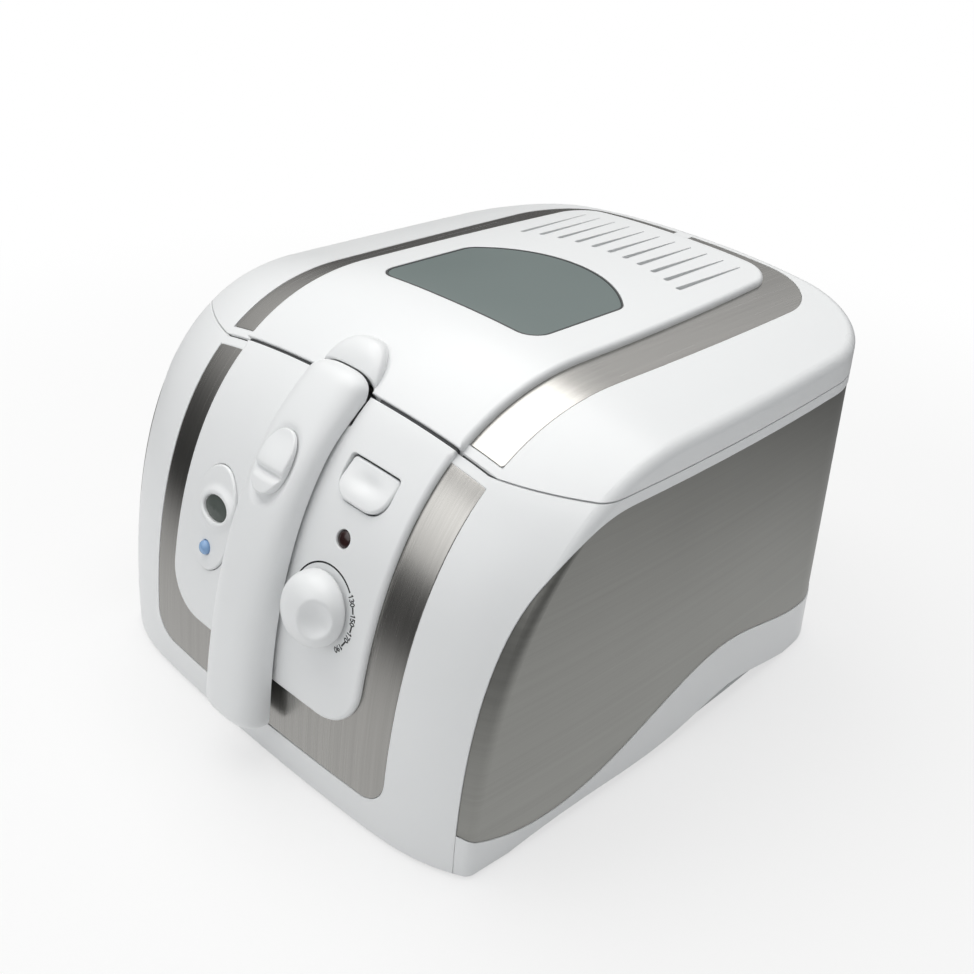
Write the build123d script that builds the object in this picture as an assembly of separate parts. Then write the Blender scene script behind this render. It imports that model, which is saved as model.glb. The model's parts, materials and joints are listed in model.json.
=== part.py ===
from build123d import *
from math import atan2, cos, degrees, hypot, pi, radians, sin, tan
import os

# Deep fryer: white housing with brushed trim, rear-hinged lid, fold-up lift handle and a frying basket.
# Millimetres. The front faces -Y, +X is to the right seen from the front, and the floor is Z = 0.

# Outer form
SEAM_HALF_WIDTH = 139.5
BASE_HALF_WIDTH = SEAM_HALF_WIDTH - 3.5
SIDE_BULGE = 9.5
FRONT_Y = -147.5
REAR_Y = 160.5
REAR_BULGE = 2.0
CROWN_Y = -17.5
CROWN_Z = 201.5
SHOULDER_DROP = 16.0
SHOULDER_POWER = 2.3
FRONT_BOW = 3.8
CORNER_START = SEAM_HALF_WIDTH - 64.5
CORNER_SWEEP = 14.0
PROFILE_FULLNESS = 0.664
REAR_CORNER_BASE = 34.0
REAR_CORNER_SEAM = 58.0
EDGE_RADIUS = 6.0
BODY_BOTTOM = 2.0
WALL = 3.0
BIG = 900.0

# Parting between body and lid
SEAM_HEIGHT_SHARE = 0.8486
SEAM_REACH_SHARE = 0.5592
SEAM_Z = SEAM_HEIGHT_SHARE * CROWN_Z
SEAM_Y = CROWN_Y - SEAM_REACH_SHARE * (CROWN_Y - FRONT_Y)
SEAM_GAP = 1.2

# Side view of the steel wrapper: arched front edge, flat top, wavy lower edge
ARCH_FOOT_Y = FRONT_Y + 13.5
ARCH_CREST_Y = SEAM_Y + 38.2
ARCH_FULLNESS = 0.64
WRAPPER_TOP_Z = SEAM_Z - 5.5
WRAPPER_INSET = 0.4
WRAPPER_JOINT_Y = REAR_Y - REAR_CORNER_SEAM - 2.0
SHEET = 0.8
TRIM_GAP = 0.25
WAVE = [(FRONT_Y - 7.5, 39.0), (-43.0, 19.0), (43.0, 46.0), (REAR_Y - 38.5, 31.0), (REAR_Y + 19.5, 50.0)]
SKIRT_ARCH = [
    (FRONT_Y + 35.5, 1.0),
    (-60.0, 6.0),
    (10.0, 7.0),
    (58.0, 13.0),
    (REAR_Y - 62.5, 6.0),
    (REAR_Y - 38.5, 1.0),
]

# Front trim
INLAY_TOP_HALF = SEAM_HALF_WIDTH - 43.5
INLAY_LOW_HALF = INLAY_TOP_HALF - 6.0
INLAY_LOW_Z = 19.0
INLAY_CORNER = 15.0
INLAY_SHEET = 1.0
TRIM_SETBACK = 3.5
PANEL_TOP_HALF = INLAY_TOP_HALF - 22.0
PANEL_LOW_HALF = PANEL_TOP_HALF - 2.5
PANEL_LOW_Z = 48.5
PANEL_CORNER = 24.0
PANEL_RISE = 3.0

# Lid trim
LID_RISE = 3.5
LID_PANEL_FRONT_HALF = PANEL_TOP_HALF + 0.5
LID_PANEL_MID_HALF = PANEL_TOP_HALF + 2.0
LID_PANEL_REAR_HALF = PANEL_TOP_HALF - 5.5
LID_PANEL_MID_Y = 10.0
LID_PANEL_REAR_Y = REAR_Y - 17.0
LID_PANEL_CORNER = 20.0
STRIP_FRONT_HALF = INLAY_TOP_HALF - 1.0
STRIP_MID_HALF = INLAY_TOP_HALF + 1.5
STRIP_MID_Y = 30.0
STRIP_REAR_HALF = INLAY_TOP_HALF - 1.0
STRIP_REAR_Y = REAR_Y - 6.0
STRIP_CORNER = 38.0
STRIP_SHEET = 0.9
STRIP_SPLIT = 10.0
WINDOW_FRONT_Y = -27.0
WINDOW_HALF = LID_PANEL_MID_HALF - 22.0
WINDOW_SIDE_Y = 36.0
WINDOW_APEX_Y = 60.5
WINDOW_CORNER = 11.0
GASKET_WIDTH = 1.2
VENT_COUNT = 11
VENT_PITCH = 10.8
VENT_WIDTH = 2.6
VENT_FRONT_Y = WINDOW_APEX_Y + 28.0
VENT_ARC_DROP = 10.0
VENT_REAR_Y = LID_PANEL_REAR_Y - 13.0

# Oil pot, its deck and its heater; the front clears the barrel of the lift handle
BARREL_RADIUS = 11.0
POT_HALF = BASE_HALF_WIDTH - 32.0
POT_FRONT_Y = SEAM_Y + 2 * BARREL_RADIUS - 11.8
POT_REAR_Y = REAR_Y - 22.5
POT_CORNER = 42.0
POT_FLOOR_Z = 40.0
POT_WALL = 1.5
POT_FLOOR_ROUND = 12.0
FLANGE_WIDTH = 5.5
FLANGE_THICK = 1.5
DECK_THICK = 2.5
SILL_FRONT_Y = SEAM_Y - 2.8
SILL_REAR_Y = SEAM_Y - 0.3
ELEMENT_RADIUS = 62.0
ELEMENT_TUBE = 3.5
ELEMENT_LEG_X = 14.0
ELEMENT_LEG_END_Y = POT_FRONT_Y + 14.0
STRAP_HALF = 7.0
STRAP_THICK = 1.5
STUD_RADIUS = 4.0
CUTOUT_SHIFT = 30.0
CUTOUT_RADIUS = 8.0
CUTOUT_HEIGHT = 8.0
CUTOUT_TAB = (24.0, 6.0, 1.0)
TERMINAL_PLACE = (70.0, 111.0)
TERMINAL_SIZE = (44.0, 22.0, 16.0)
TERMINAL_PITCH = 14.0
TERMINAL_HOLE = 3.0
TERMINAL_HOLE_DEPTH = 6.0

# Underside
PLATE_THICK = 2.5
FOOT_HEIGHT = 5.0
FOOT_RADIUS = 10.0
FOOT_CHAMFER = 1.2
FRONT_FOOT = (BASE_HALF_WIDTH - 31.0, FRONT_Y + 35.5)
REAR_FOOT = (BASE_HALF_WIDTH - 38.0, REAR_Y - 44.5)
BOSS_X = BASE_HALF_WIDTH - 14.0
BOSS_Y = [-60.0, 80.0]
BOSS_RADIUS = 5.0
BOSS_WEB = 4.0
BOSS_TOP_Z = 20.0
SCREW_RADIUS = 1.75
SCREW_HEAD_RADIUS = 3.5
SCREW_HEAD = 2.0
SCREW_LENGTH = 11.0
SCREW_SLOT = (5.0, 0.9, 1.8)
SCREW_PLAY = 0.15

# Lift handle: offsets are measured out from the front skin
HANDLE_HALF_WIDTH = 18.5
HANDLE_TOP_Y = SEAM_Y - 2.8
HANDLE_LOW_Z = 25.0
HANDLE_BACK = 4.0
HANDLE_LINER = 2.5
HANDLE_WALL = 3.0
HANDLE_TOP_RISE = 14.0
HANDLE_LOW_RISE = 24.2
HANDLE_ROUND = 10.0
BARREL_CLEARANCE = 0.6
HANDLE_TRAVEL = 65.0
SLIDE_Z = 146.0
SLIDE_WIDTH = 17.0
SLIDE_LENGTH = 24.0
SLIDE_RISE = 3.0
SLIDE_GAP = 0.6
SLIDE_TRAVEL = 6.0
SLIDE_STEM = (7.0, 9.0, 7.0)
SLIDE_FOOT = (13.0, 9.0, 1.6)
SLIDE_FOOT_DROP = 6.2
SLIDE_EDGE = 1.4
HANDLE_SCREW_Z = (60.0, 120.0)
HANDLE_PIN_INSET = 1.5
BARREL_ROUND = 4.0

# Lift gearing between handle and basket
MODULE = 2.0
SECTOR_TEETH = 27
PINION_TEETH = 9
MESH_ANGLE = -42.0
ADDENDUM = 1.5
DEDENDUM = 2.2
BACKLASH = 1.6
PRESSURE_ANGLE = 20.0
SECTOR_THICK = 5.0
HUB_RADIUS = 6.5
PINION_THICK = 7.4
RACK_THICK = 6.8
CHEEK_INNER = 4.0
CHEEK_THICK = 3.0
CHEEK_ROUND = 6.5
CHEEK_WEB = 10.0
CHEEK_SPREAD = 50.0
HANDLE_PIN_RADIUS = 2.5
PINION_PIN_RADIUS = 2.0
RUNNING_GAP = 0.05
SIDE_GAP = 0.4
CARRIAGE_HALF = 12.0
CARRIAGE_THICK = 4.0
GUIDE_LOW_Z = SEAM_Z - 33.0
GUIDE_THICK = 2.0
GUIDE_LIP = 2.9

# Basket
BASKET_HALF = POT_HALF - 12.0
BASKET_REAR_Y = POT_REAR_Y - 12.0
BASKET_GAP = 8.0
BASKET_FLOOR_Z = 46.0
BASKET_TOP_Z = 116.0
BASKET_WALL = 1.6
BASKET_CORNER = 30.0
BASKET_FLOOR_ROUND = 8.0
RIM_WIRE = 4.0
HANGER_HALF = 9.0
HANGER_DEPTH = 10.0

# Controls on the front panel: places are X and height on the skin
TIMER_PLACE = (-43.5, 105.5)
TIMER_HALF = (17.5, 26.5)
TIMER_RISE = 5.5
LENS_PLACE = (-40.5, 111.3)
LENS_HALF = (9.6, 6.2)
LENS_DEPTH = 1.5
TIMER_BUTTON_PLACE = (-43.5, 90.8)
TIMER_BUTTON_RADIUS = 3.0
TIMER_BUTTON_RISE = 7.2
TIMER_BUTTON_TRAVEL = 1.2
BUTTON_GAP = 0.3
TIMER_MODULE = (36.0, 44.0, 13.0)
PILOT_PLACE = (42.8, 131.0)
PILOT_RADIUS = 3.5
PILOT_RISE = 4.8
KNOB_PLACE = (41.6, 100.3)
KNOB_RADIUS = 16.5
KNOB_GAP = 1.0
KNOB_HEIGHT = 15.0
KNOB_ROUND = 3.0
SHAFT_RADIUS = 3.0
BUSH_RADIUS = 5.0
THERMOSTAT = (32.0, 30.0, 17.0)
RELEASE_PLACE = (43.4, SEAM_Z - 18.5)
RELEASE_WIDTH = 30.0
RELEASE_LENGTH = 19.0
RELEASE_ROUND = 8.5
RELEASE_RISE = 4.0
RELEASE_DEPTH = 5.5
RELEASE_GAP = 0.6
RELEASE_TRAVEL = 3.5
LATCH_PIVOT = (SEAM_Y - 4.8, SEAM_Z - 19.0)
LATCH_HALF = 4.0
LATCH_ARM = 5.0
LATCH_PAD_DROP = 5.0
LATCH_NOSE_Z = SEAM_Z - 10.5
LATCH_PIN_RADIUS = 1.5
LATCH_LUG = 3.0
LATCH_LUG_RADIUS = 3.2

# Rounded nose of the lid, over the handle's barrel
NOSE_SIDE = 2.0
NOSE_LENGTH = 23.0
NOSE_HEIGHT = 14.0
NOSE_BACK = 9.5
NOSE_UP = 2.8
NOSE_TILT = 38.66

# Lid inside
LINER_Z = SEAM_Z + 2.5
LINER_THICK = 1.5
SEAL_OFFSET = 0.5
SEAL_WIDTH = 3.5
SEAL_GAP = 0.3
FILTER_HALF = 60.0
FILTER_FRONT_Y = WINDOW_APEX_Y + 11.5
FILTER_REAR_Y = LID_PANEL_REAR_Y - 7.5
FILTER_HEIGHT = 14.0
FILTER_CORNER = 4.0
GRILLE_THICK = 1.5
GRILLE_HOLE = 5.0
CATCH_THICK = 2.2
CATCH_HALF = 4.5
CATCH_LOW_Z = SEAM_Z - 15.0
CATCH_ROOT = 8.0
CATCH_DENT = (3.0, 1.0, 3.5)

# Lid hinge
HINGE_Y = REAR_Y + 5.9
HINGE_Z = SEAM_Z + 1.6
KNUCKLE_RADIUS = 3.6
HINGE_PIN_RADIUS = 2.0
HINGE_X = 61.0
LID_KNUCKLE = 9.2
BODY_KNUCKLE = 7.0
KNUCKLE_GAP = 0.4

# Cord gland in the back
GLAND_X = 70.0
GLAND_Z = 62.0
GLAND_BORE = 4.2
GLAND_RADIUS = 8.0
GLAND_FLANGE = 11.0
GLAND_INSIDE = 13.0
GLAND_LIP = 3.0


# Surfaces

def skin_controls(x, inset=0.0):
    # Side profile at one X: up the front and over the top, as one cubic curve in (Y, Z)
    past = max(abs(x) - CORNER_START, 0.0) / (SEAM_HALF_WIDTH - CORNER_START)
    front = FRONT_Y + FRONT_BOW * (x / 100.0) ** 2 + CORNER_SWEEP * past ** 3 + inset
    height = CROWN_Z - SHOULDER_DROP * (abs(x) / SEAM_HALF_WIDTH) ** SHOULDER_POWER - inset
    reach = CROWN_Y - front
    return [
        (front, 0.0),
        (front, PROFILE_FULLNESS * height),
        (CROWN_Y - PROFILE_FULLNESS * reach, height),
        (CROWN_Y, height),
    ]


def skin_point(x, t):
    weights = ((1 - t) ** 3, 3 * t * (1 - t) ** 2, 3 * t * t * (1 - t), t ** 3)
    controls = skin_controls(x)
    return tuple(sum(w * c[axis] for w, c in zip(weights, controls)) for axis in (0, 1))


def skin_normal(x, t, step=1e-4):
    low, high = skin_point(x, t - step), skin_point(x, t + step)
    dy, dz = high[0] - low[0], high[1] - low[1]
    size = hypot(dy, dz)
    return -dz / size, dy / size


def skin_parameter(x, axis, value):
    # Both coordinates grow along the curve, so halving the span finds the place
    low, high = 0.0, 1.0
    for _ in range(50):
        middle = (low + high) / 2
        if skin_point(x, middle)[axis] < value:
            low = middle
        else:
            high = middle
    return low


def skin_offset(t, offset, x=0.0):
    point, normal = skin_point(x, t), skin_normal(x, t)
    return point[0] + normal[0] * offset, point[1] + normal[1] * offset


def skin_frame(place, lift=0.0):
    # Plane on the front at (X, Z), facing out, with its own Y running up the front
    x, z = place
    t = skin_parameter(x, 1, z)
    y, z = skin_offset(t, lift, x)
    normal = skin_normal(x, t)
    return Plane(origin=(x, y, z), x_dir=(1, 0, 0), z_dir=(0, normal[0], normal[1]))


def front_block(inset):
    reach = SEAM_HALF_WIDTH + 10.5
    sections = []
    for step in range(-8, 9):
        x = step / 8 * reach
        controls = skin_controls(x, inset)
        start, end = controls[0], controls[-1]
        with BuildSketch(Plane(origin=(x, 0, 0), x_dir=(0, 1, 0), z_dir=(1, 0, 0))) as section:
            with BuildLine():
                Bezier(*controls)
                Polyline(end, (BIG / 3, end[1]), (BIG / 3, -20), (start[0], -20), start)
            make_face()
        sections.append(section.sketch)
    return loft(sections)


def plan_outline(z, inset):
    share = z / SEAM_Z
    half = BASE_HALF_WIDTH + (SEAM_HALF_WIDTH - BASE_HALF_WIDTH) * share - inset
    corner = REAR_CORNER_BASE + (REAR_CORNER_SEAM - REAR_CORNER_BASE) * share - inset
    end = half - SIDE_BULGE
    rear = REAR_Y - inset
    front = FRONT_Y - 60
    middle = (FRONT_Y + REAR_Y + 27) / 2
    with BuildSketch(Plane.XY.offset(z)) as outline:
        with BuildLine():
            ThreePointArc((end, front), (half, middle), (end, rear))
            ThreePointArc((end, rear), (0, rear + REAR_BULGE), (-end, rear))
            ThreePointArc((-end, rear), (-half, middle), (-end, front))
            Line((-end, front), (end, front))
        make_face()
        fillet(outline.vertices().filter_by(lambda corner_point: corner_point.Y > 0), corner)
    return outline.sketch


def plan_block(inset):
    return loft([plan_outline(-20, inset), plan_outline(CROWN_Z + 30, inset)], ruled=True)


def above(z):
    return Pos(0, 0, z + BIG / 2) * Box(BIG, BIG, BIG)


def behind(y):
    return Pos(0, y + BIG / 2, 0) * Box(BIG, BIG, BIG)


def slab(low, high):
    return Pos(0, 0, (low + high) / 2) * Box(BIG, BIG, high - low)


def block(x0, x1, y0, y1, z0, z1):
    return Pos((x0 + x1) / 2, (y0 + y1) / 2, (z0 + z1) / 2) * Box(x1 - x0, y1 - y0, z1 - z0)


def cross_rod(y, z, radius, half, x=0.0):
    return Pos(x, y, z) * Rot(0, 90, 0) * Cylinder(radius, 2 * half)


def rod(plane, radius, low, high):
    return plane * Pos(0, 0, (low + high) / 2) * Cylinder(radius, high - low)


ENVELOPES = {}


def envelope(inset):
    # Closed outer form set in by a wall, with its long edges rounded
    if inset not in ENVELOPES:
        floor = BODY_BOTTOM if inset <= 0 else BODY_BOTTOM / 2
        form = front_block(inset) & plan_block(inset) & above(floor)
        edges = [
            edge for edge in form.edges()
            if edge.geom_type != GeomType.LINE and edge.bounding_box().max.Z > 4 * BODY_BOTTOM
        ]
        ENVELOPES[inset] = fillet(edges, max(EDGE_RADIUS - inset, 1.0))
    return ENVELOPES[inset]


def side_prism(*lines):
    # Outline in (Y, Z) run across the whole width
    with BuildSketch(Plane.YZ) as outline:
        with BuildLine():
            for line in lines:
                line()
        make_face()
    return extrude(outline.sketch, BIG / 2, both=True)


def wrapper_side():
    crest = (ARCH_CREST_Y, WRAPPER_TOP_Z)
    return side_prism(
        lambda: Bezier(
            (ARCH_FOOT_Y, 0),
            (ARCH_FOOT_Y, ARCH_FULLNESS * WRAPPER_TOP_Z),
            (ARCH_CREST_Y - ARCH_FULLNESS * (ARCH_CREST_Y - ARCH_FOOT_Y), WRAPPER_TOP_Z),
            crest,
        ),
        lambda: Polyline(
            crest, (BIG / 3, WRAPPER_TOP_Z), (BIG / 3, -20), (ARCH_FOOT_Y, -20), (ARCH_FOOT_Y, 0)
        ),
    )


def below_wave():
    start, end = WAVE[0], WAVE[-1]
    return side_prism(
        lambda: Spline(*WAVE),
        lambda: Polyline(end, (end[0], -30), (start[0], -30), start),
    )


def below_skirt():
    start, end = SKIRT_ARCH[0], SKIRT_ARCH[-1]
    return side_prism(
        lambda: Spline(*SKIRT_ARCH),
        lambda: Polyline(end, (end[0], -30), (start[0], -30), start),
    )


def front_prism(top_half, low_half, low_z, corner, inset=0.0):
    top_z = CROWN_Z + 20
    with BuildSketch(Plane.XZ) as outline:
        with BuildLine():
            Polyline(
                (-top_half + inset, top_z),
                (-low_half + inset, low_z + inset),
                (low_half - inset, low_z + inset),
                (top_half - inset, top_z),
                close=True,
            )
        make_face()
        low = outline.vertices().filter_by(lambda corner_point: corner_point.Z < low_z + inset + 1)
        fillet(low, corner - inset)
    return extrude(outline.sketch, -CROWN_Y + 2 * BIG / 3, both=True) - behind(CROWN_Y)


def plan_prism(sketch):
    return Pos(0, 0, SEAM_Z - 10) * extrude(sketch, CROWN_Z - SEAM_Z + 40)


def lid_panel_outline(inset=0.0):
    front = SEAM_Y - 10
    rear = LID_PANEL_REAR_Y - inset
    front_half = LID_PANEL_FRONT_HALF - inset
    mid_half = LID_PANEL_MID_HALF - inset
    rear_half = LID_PANEL_REAR_HALF - inset
    with BuildSketch() as outline:
        with BuildLine():
            ThreePointArc((front_half, front), (mid_half, LID_PANEL_MID_Y), (rear_half, rear))
            Line((rear_half, rear), (-rear_half, rear))
            ThreePointArc((-rear_half, rear), (-mid_half, LID_PANEL_MID_Y), (-front_half, front))
            Line((-front_half, front), (front_half, front))
        make_face()
        rear_corners = outline.vertices().filter_by(lambda corner_point: corner_point.Y > 0)
        fillet(rear_corners, LID_PANEL_CORNER - inset)
    return outline.sketch


def strip_outline(inset=0.0):
    front = SEAM_Y + SEAM_GAP + TRIM_SETBACK + inset
    rear = STRIP_REAR_Y - inset
    front_half = STRIP_FRONT_HALF - inset
    mid_half = STRIP_MID_HALF - inset
    rear_half = STRIP_REAR_HALF - inset
    with BuildSketch() as outline:
        with BuildLine():
            ThreePointArc((front_half, front), (mid_half, STRIP_MID_Y), (rear_half, rear))
            Line((rear_half, rear), (-rear_half, rear))
            ThreePointArc((-rear_half, rear), (-mid_half, STRIP_MID_Y), (-front_half, front))
            Line((-front_half, front), (front_half, front))
        make_face()
        fillet(outline.vertices().filter_by(lambda corner_point: corner_point.Y > 0), STRIP_CORNER - inset)
        add(lid_panel_outline(-inset), mode=Mode.SUBTRACT)
        split = STRIP_SPLIT + 2 * inset
        Rectangle(split, BIG, mode=Mode.SUBTRACT)
    return outline.sketch


def window_outline(grow=0.0):
    half = WINDOW_HALF + grow
    front = WINDOW_FRONT_Y - grow
    side = WINDOW_SIDE_Y
    apex = WINDOW_APEX_Y + grow
    with BuildSketch() as outline:
        with BuildLine():
            Polyline((-half, side), (-half, front), (half, front), (half, side))
            ThreePointArc((half, side), (0, apex), (-half, side))
        make_face()
        fillet(outline.vertices(), WINDOW_CORNER + grow)
    return outline.sketch


def pot_outline(grow=0.0, z=0.0):
    width = 2 * (POT_HALF + grow)
    depth = POT_REAR_Y - POT_FRONT_Y + 2 * grow
    middle = (POT_REAR_Y + POT_FRONT_Y) / 2
    return Pos(0, middle, z) * RectangleRounded(width, depth, POT_CORNER + grow)


def upright(sketch, low, high):
    return Pos(0, 0, low) * extrude(sketch, high - low)


# Pivot places of the lift gearing, in (Y, Z)
PIVOT_T = skin_parameter(0.0, 0, HANDLE_TOP_Y)
HANDLE_PIVOT = skin_offset(PIVOT_T, HANDLE_TOP_RISE - BARREL_RADIUS)
SECTOR_RADIUS = MODULE * SECTOR_TEETH / 2
PINION_RADIUS = MODULE * PINION_TEETH / 2
CENTRES = SECTOR_RADIUS + PINION_RADIUS
PINION_PIVOT = (
    HANDLE_PIVOT[0] + CENTRES * cos(radians(MESH_ANGLE)),
    HANDLE_PIVOT[1] + CENTRES * sin(radians(MESH_ANGLE)),
)
LIFT = SECTOR_RADIUS * radians(HANDLE_TRAVEL)
RACK_LINE_Y = PINION_PIVOT[0] + PINION_RADIUS
CARRIAGE_Y = RACK_LINE_Y + DEDENDUM - 0.2
CARRIAGE_TOP_Z = PINION_PIVOT[1] + 5.0
CARRIAGE_LOW_Z = BASKET_TOP_Z - HANGER_DEPTH - 2.0
BASKET_FRONT_Y = CARRIAGE_Y + CARRIAGE_THICK + BASKET_GAP
CHEEK_OUTER = CHEEK_INNER + CHEEK_THICK
FLANGE_Z = WRAPPER_TOP_Z + DECK_THICK
POT_RIM_Z = FLANGE_Z + FLANGE_THICK
LID_LOW_Z = SEAM_Z + SEAM_GAP / 2
LID_FRONT_Y = SEAM_Y + SEAM_GAP
PLATE_Z = FOOT_HEIGHT
SECTOR_STEP = 360.0 / SECTOR_TEETH
SECTOR_AHEAD = round(HANDLE_TRAVEL / SECTOR_STEP)
SECTOR_START = MESH_ANGLE - 1.4 * SECTOR_STEP
SECTOR_END = MESH_ANGLE + (SECTOR_AHEAD + 0.32) * SECTOR_STEP


# Openings that several pieces share

def control_openings():
    # Clear ways for the bush, the button, the pilot lens and the release button
    bush = rod(skin_frame(KNOB_PLACE), BUSH_RADIUS + RUNNING_GAP, -20, 20)
    button = rod(skin_frame(TIMER_BUTTON_PLACE), TIMER_BUTTON_RADIUS + BUTTON_GAP, -20, 20)
    pilot = rod(skin_frame(PILOT_PLACE), PILOT_RADIUS + RUNNING_GAP, -20, 20)
    return bush + button + pilot + release_prism(RELEASE_GAP, -20, 20)


def release_prism(grow, low, high):
    with BuildSketch() as outline:
        Rectangle(RELEASE_WIDTH + 2 * grow, RELEASE_LENGTH + 2 * grow)
        low_corners = outline.vertices().filter_by(lambda corner_point: corner_point.Y < 0)
        fillet(low_corners, RELEASE_ROUND + grow)
    return skin_frame(RELEASE_PLACE) * Pos(0, 0, low) * extrude(outline.sketch, high - low)


def timer_prism(grow, low, high):
    sketch = Ellipse(TIMER_HALF[0] + grow, TIMER_HALF[1] + grow)
    return skin_frame(TIMER_PLACE) * Pos(0, 0, low) * extrude(sketch, high - low)


def pie(radius, start, end):
    # Slice of a disc between two angles, in degrees
    middle = (start + end) / 2
    points = [(radius * cos(radians(a)), radius * sin(radians(a))) for a in (start, middle, end)]
    with BuildSketch() as plate:
        with BuildLine():
            ThreePointArc(*points)
            Polyline(points[2], (0, 0), points[0])
        make_face()
    return plate.sketch


def side_solid(sketch, half, centre):
    # Sketch in (Y, Z) about a centre, given a thickness across X
    return Pos(0, *centre) * extrude(Plane.YZ * sketch, half, both=True)


def barrel_room():
    return cross_rod(*HANDLE_PIVOT, BARREL_RADIUS + BARREL_CLEARANCE, HANDLE_HALF_WIDTH + SIDE_GAP)


def sector_way():
    # Slot that the sector swings through as the handle comes up
    reach = SECTOR_RADIUS + ADDENDUM + 1
    sweep = pie(reach, SECTOR_START - HANDLE_TRAVEL - 3, SECTOR_END)
    return side_solid(sweep, SECTOR_THICK / 2 + BARREL_CLEARANCE, HANDLE_PIVOT)


def gearing_way():
    # Slot through deck, flange and pot rim for the cheeks and the sector
    half = CHEEK_OUTER + SIDE_GAP
    return block(-half, half, HANDLE_PIVOT[0], PINION_PIVOT[0], PINION_PIVOT[1] - 8, CROWN_Z)


def catch_way():
    half = CATCH_HALF + 1.5
    x = RELEASE_PLACE[0]
    front = SILL_REAR_Y - 0.5
    return block(x - half, x + half, front, POT_FRONT_Y - POT_WALL - 0.3, CATCH_LOW_Z - 2, SEAM_Z)


# Body

def front_housing():
    shell = envelope(0.0) - envelope(WALL) - wrapper_side()
    shell = shell - (above(SEAM_Z) & behind(SEAM_Y))
    inlay = front_prism(INLAY_TOP_HALF, INLAY_LOW_HALF, INLAY_LOW_Z, INLAY_CORNER)
    recess = (front_block(0.0) - front_block(INLAY_SHEET)) & inlay
    shell = shell - (recess - behind(SEAM_Y - TRIM_SETBACK))
    shell = shell - control_openings() - barrel_room() - sector_way()
    gap = LID_KNUCKLE / 2 + KNUCKLE_GAP
    for side in (-1, 1):
        for end in (-1, 1):
            x = side * HINGE_X + end * (gap + BODY_KNUCKLE / 2)
            half = BODY_KNUCKLE / 2
            web = block(x - half, x + half, REAR_Y - 1, HINGE_Y, WRAPPER_TOP_Z + TRIM_GAP, SEAM_Z - 0.1)
            shell = shell + web + cross_rod(HINGE_Y, HINGE_Z, KNUCKLE_RADIUS, half, x)
        bore = cross_rod(HINGE_Y, HINGE_Z, HINGE_PIN_RADIUS, gap + BODY_KNUCKLE + 1, side * HINGE_X)
        shell = shell - bore
    return shell


def front_inlay():
    outline = front_prism(INLAY_TOP_HALF, INLAY_LOW_HALF, INLAY_LOW_Z, INLAY_CORNER, TRIM_GAP)
    sheet = (front_block(0.0) - front_block(INLAY_SHEET)) & outline
    sheet = sheet - behind(SEAM_Y - TRIM_SETBACK - TRIM_GAP)
    return sheet - control_openings() - barrel_room() - sector_way()


def control_panel():
    outline = front_prism(PANEL_TOP_HALF, PANEL_LOW_HALF, PANEL_LOW_Z, PANEL_CORNER)
    panel = (front_block(-PANEL_RISE) - front_block(0.0)) & outline
    panel = panel - behind(SEAM_Y)
    panel = panel - control_openings() - barrel_room() - sector_way()
    return panel - timer_prism(TRIM_GAP, -10, 20)


def wrapper_sheet():
    sheet = envelope(WRAPPER_INSET) - envelope(WRAPPER_INSET + SHEET)
    sheet = sheet & wrapper_side() & slab(BODY_BOTTOM, WRAPPER_TOP_Z - TRIM_GAP)
    sheet = sheet - Pos(0, 0, TRIM_GAP) * below_wave() - (Pos(0, TRIM_GAP, -TRIM_GAP) * wrapper_front())
    return sheet - gland_rod(GLAND_RADIUS + RUNNING_GAP)


def wrapper_side_panel(side):
    # Left or right sheet, which butts against the rear one
    half = block(min(0, side * BIG), max(0, side * BIG), -BIG, WRAPPER_JOINT_Y, 0, BIG)
    return wrapper_sheet() & half


def wrapper_rear():
    return wrapper_sheet() & behind(WRAPPER_JOINT_Y)


def wrapper_front():
    return slab(-20, WRAPPER_TOP_Z + 20) - wrapper_side()


def base_skirt():
    shell = envelope(0.0) - envelope(WALL)
    shell = shell & wrapper_side() & below_wave()
    shell = shell - below_skirt() - slab(-20, BODY_BOTTOM)
    bosses = None
    for y in BOSS_Y:
        for side in (-1, 1):
            post = Pos(side * BOSS_X, y, 0) * Cylinder(BOSS_RADIUS, BIG)
            wing = Box(BASE_HALF_WIDTH - BOSS_X, BOSS_WEB, BIG)
            wing = Pos(side * (BOSS_X + BASE_HALF_WIDTH) / 2, y, 0) * wing
            boss = (post + wing) & slab(PLATE_Z + PLATE_THICK, BOSS_TOP_Z) & envelope(WALL)
            boss = boss - Pos(side * BOSS_X, y, 0) * Cylinder(SCREW_RADIUS, BIG)
            bosses = boss if bosses is None else bosses + boss
    return shell + bosses


def bottom_plate():
    plate = envelope(WALL) & slab(PLATE_Z, PLATE_Z + PLATE_THICK)
    for y in BOSS_Y:
        for side in (-1, 1):
            plate = plate - Pos(side * BOSS_X, y, 0) * Cylinder(SCREW_RADIUS + SCREW_PLAY, BIG)
    return plate


def base_screws():
    screws = []
    for y in BOSS_Y:
        for side in (-1, 1):
            top = PLATE_Z - SCREW_HEAD
            screw = Pos(0, 0, PLATE_Z - SCREW_HEAD / 2) * Cylinder(SCREW_HEAD_RADIUS, SCREW_HEAD)
            screw = screw + Pos(0, 0, PLATE_Z + SCREW_LENGTH / 2) * Cylinder(SCREW_RADIUS, SCREW_LENGTH)
            slot = Box(*SCREW_SLOT)
            screw = screw - Pos(0, 0, top) * (slot + Rot(0, 0, 90) * slot)
            screws.append(Pos(side * BOSS_X, y, 0) * screw)
    return screws


def rubber_feet():
    feet = []
    for x, y in (FRONT_FOOT, REAR_FOOT):
        for side in (-1, 1):
            foot = Pos(side * x, y, FOOT_HEIGHT / 2) * Cylinder(FOOT_RADIUS, FOOT_HEIGHT)
            feet.append(chamfer(foot.edges().group_by(Axis.Z)[0], FOOT_CHAMFER))
    return feet


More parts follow.
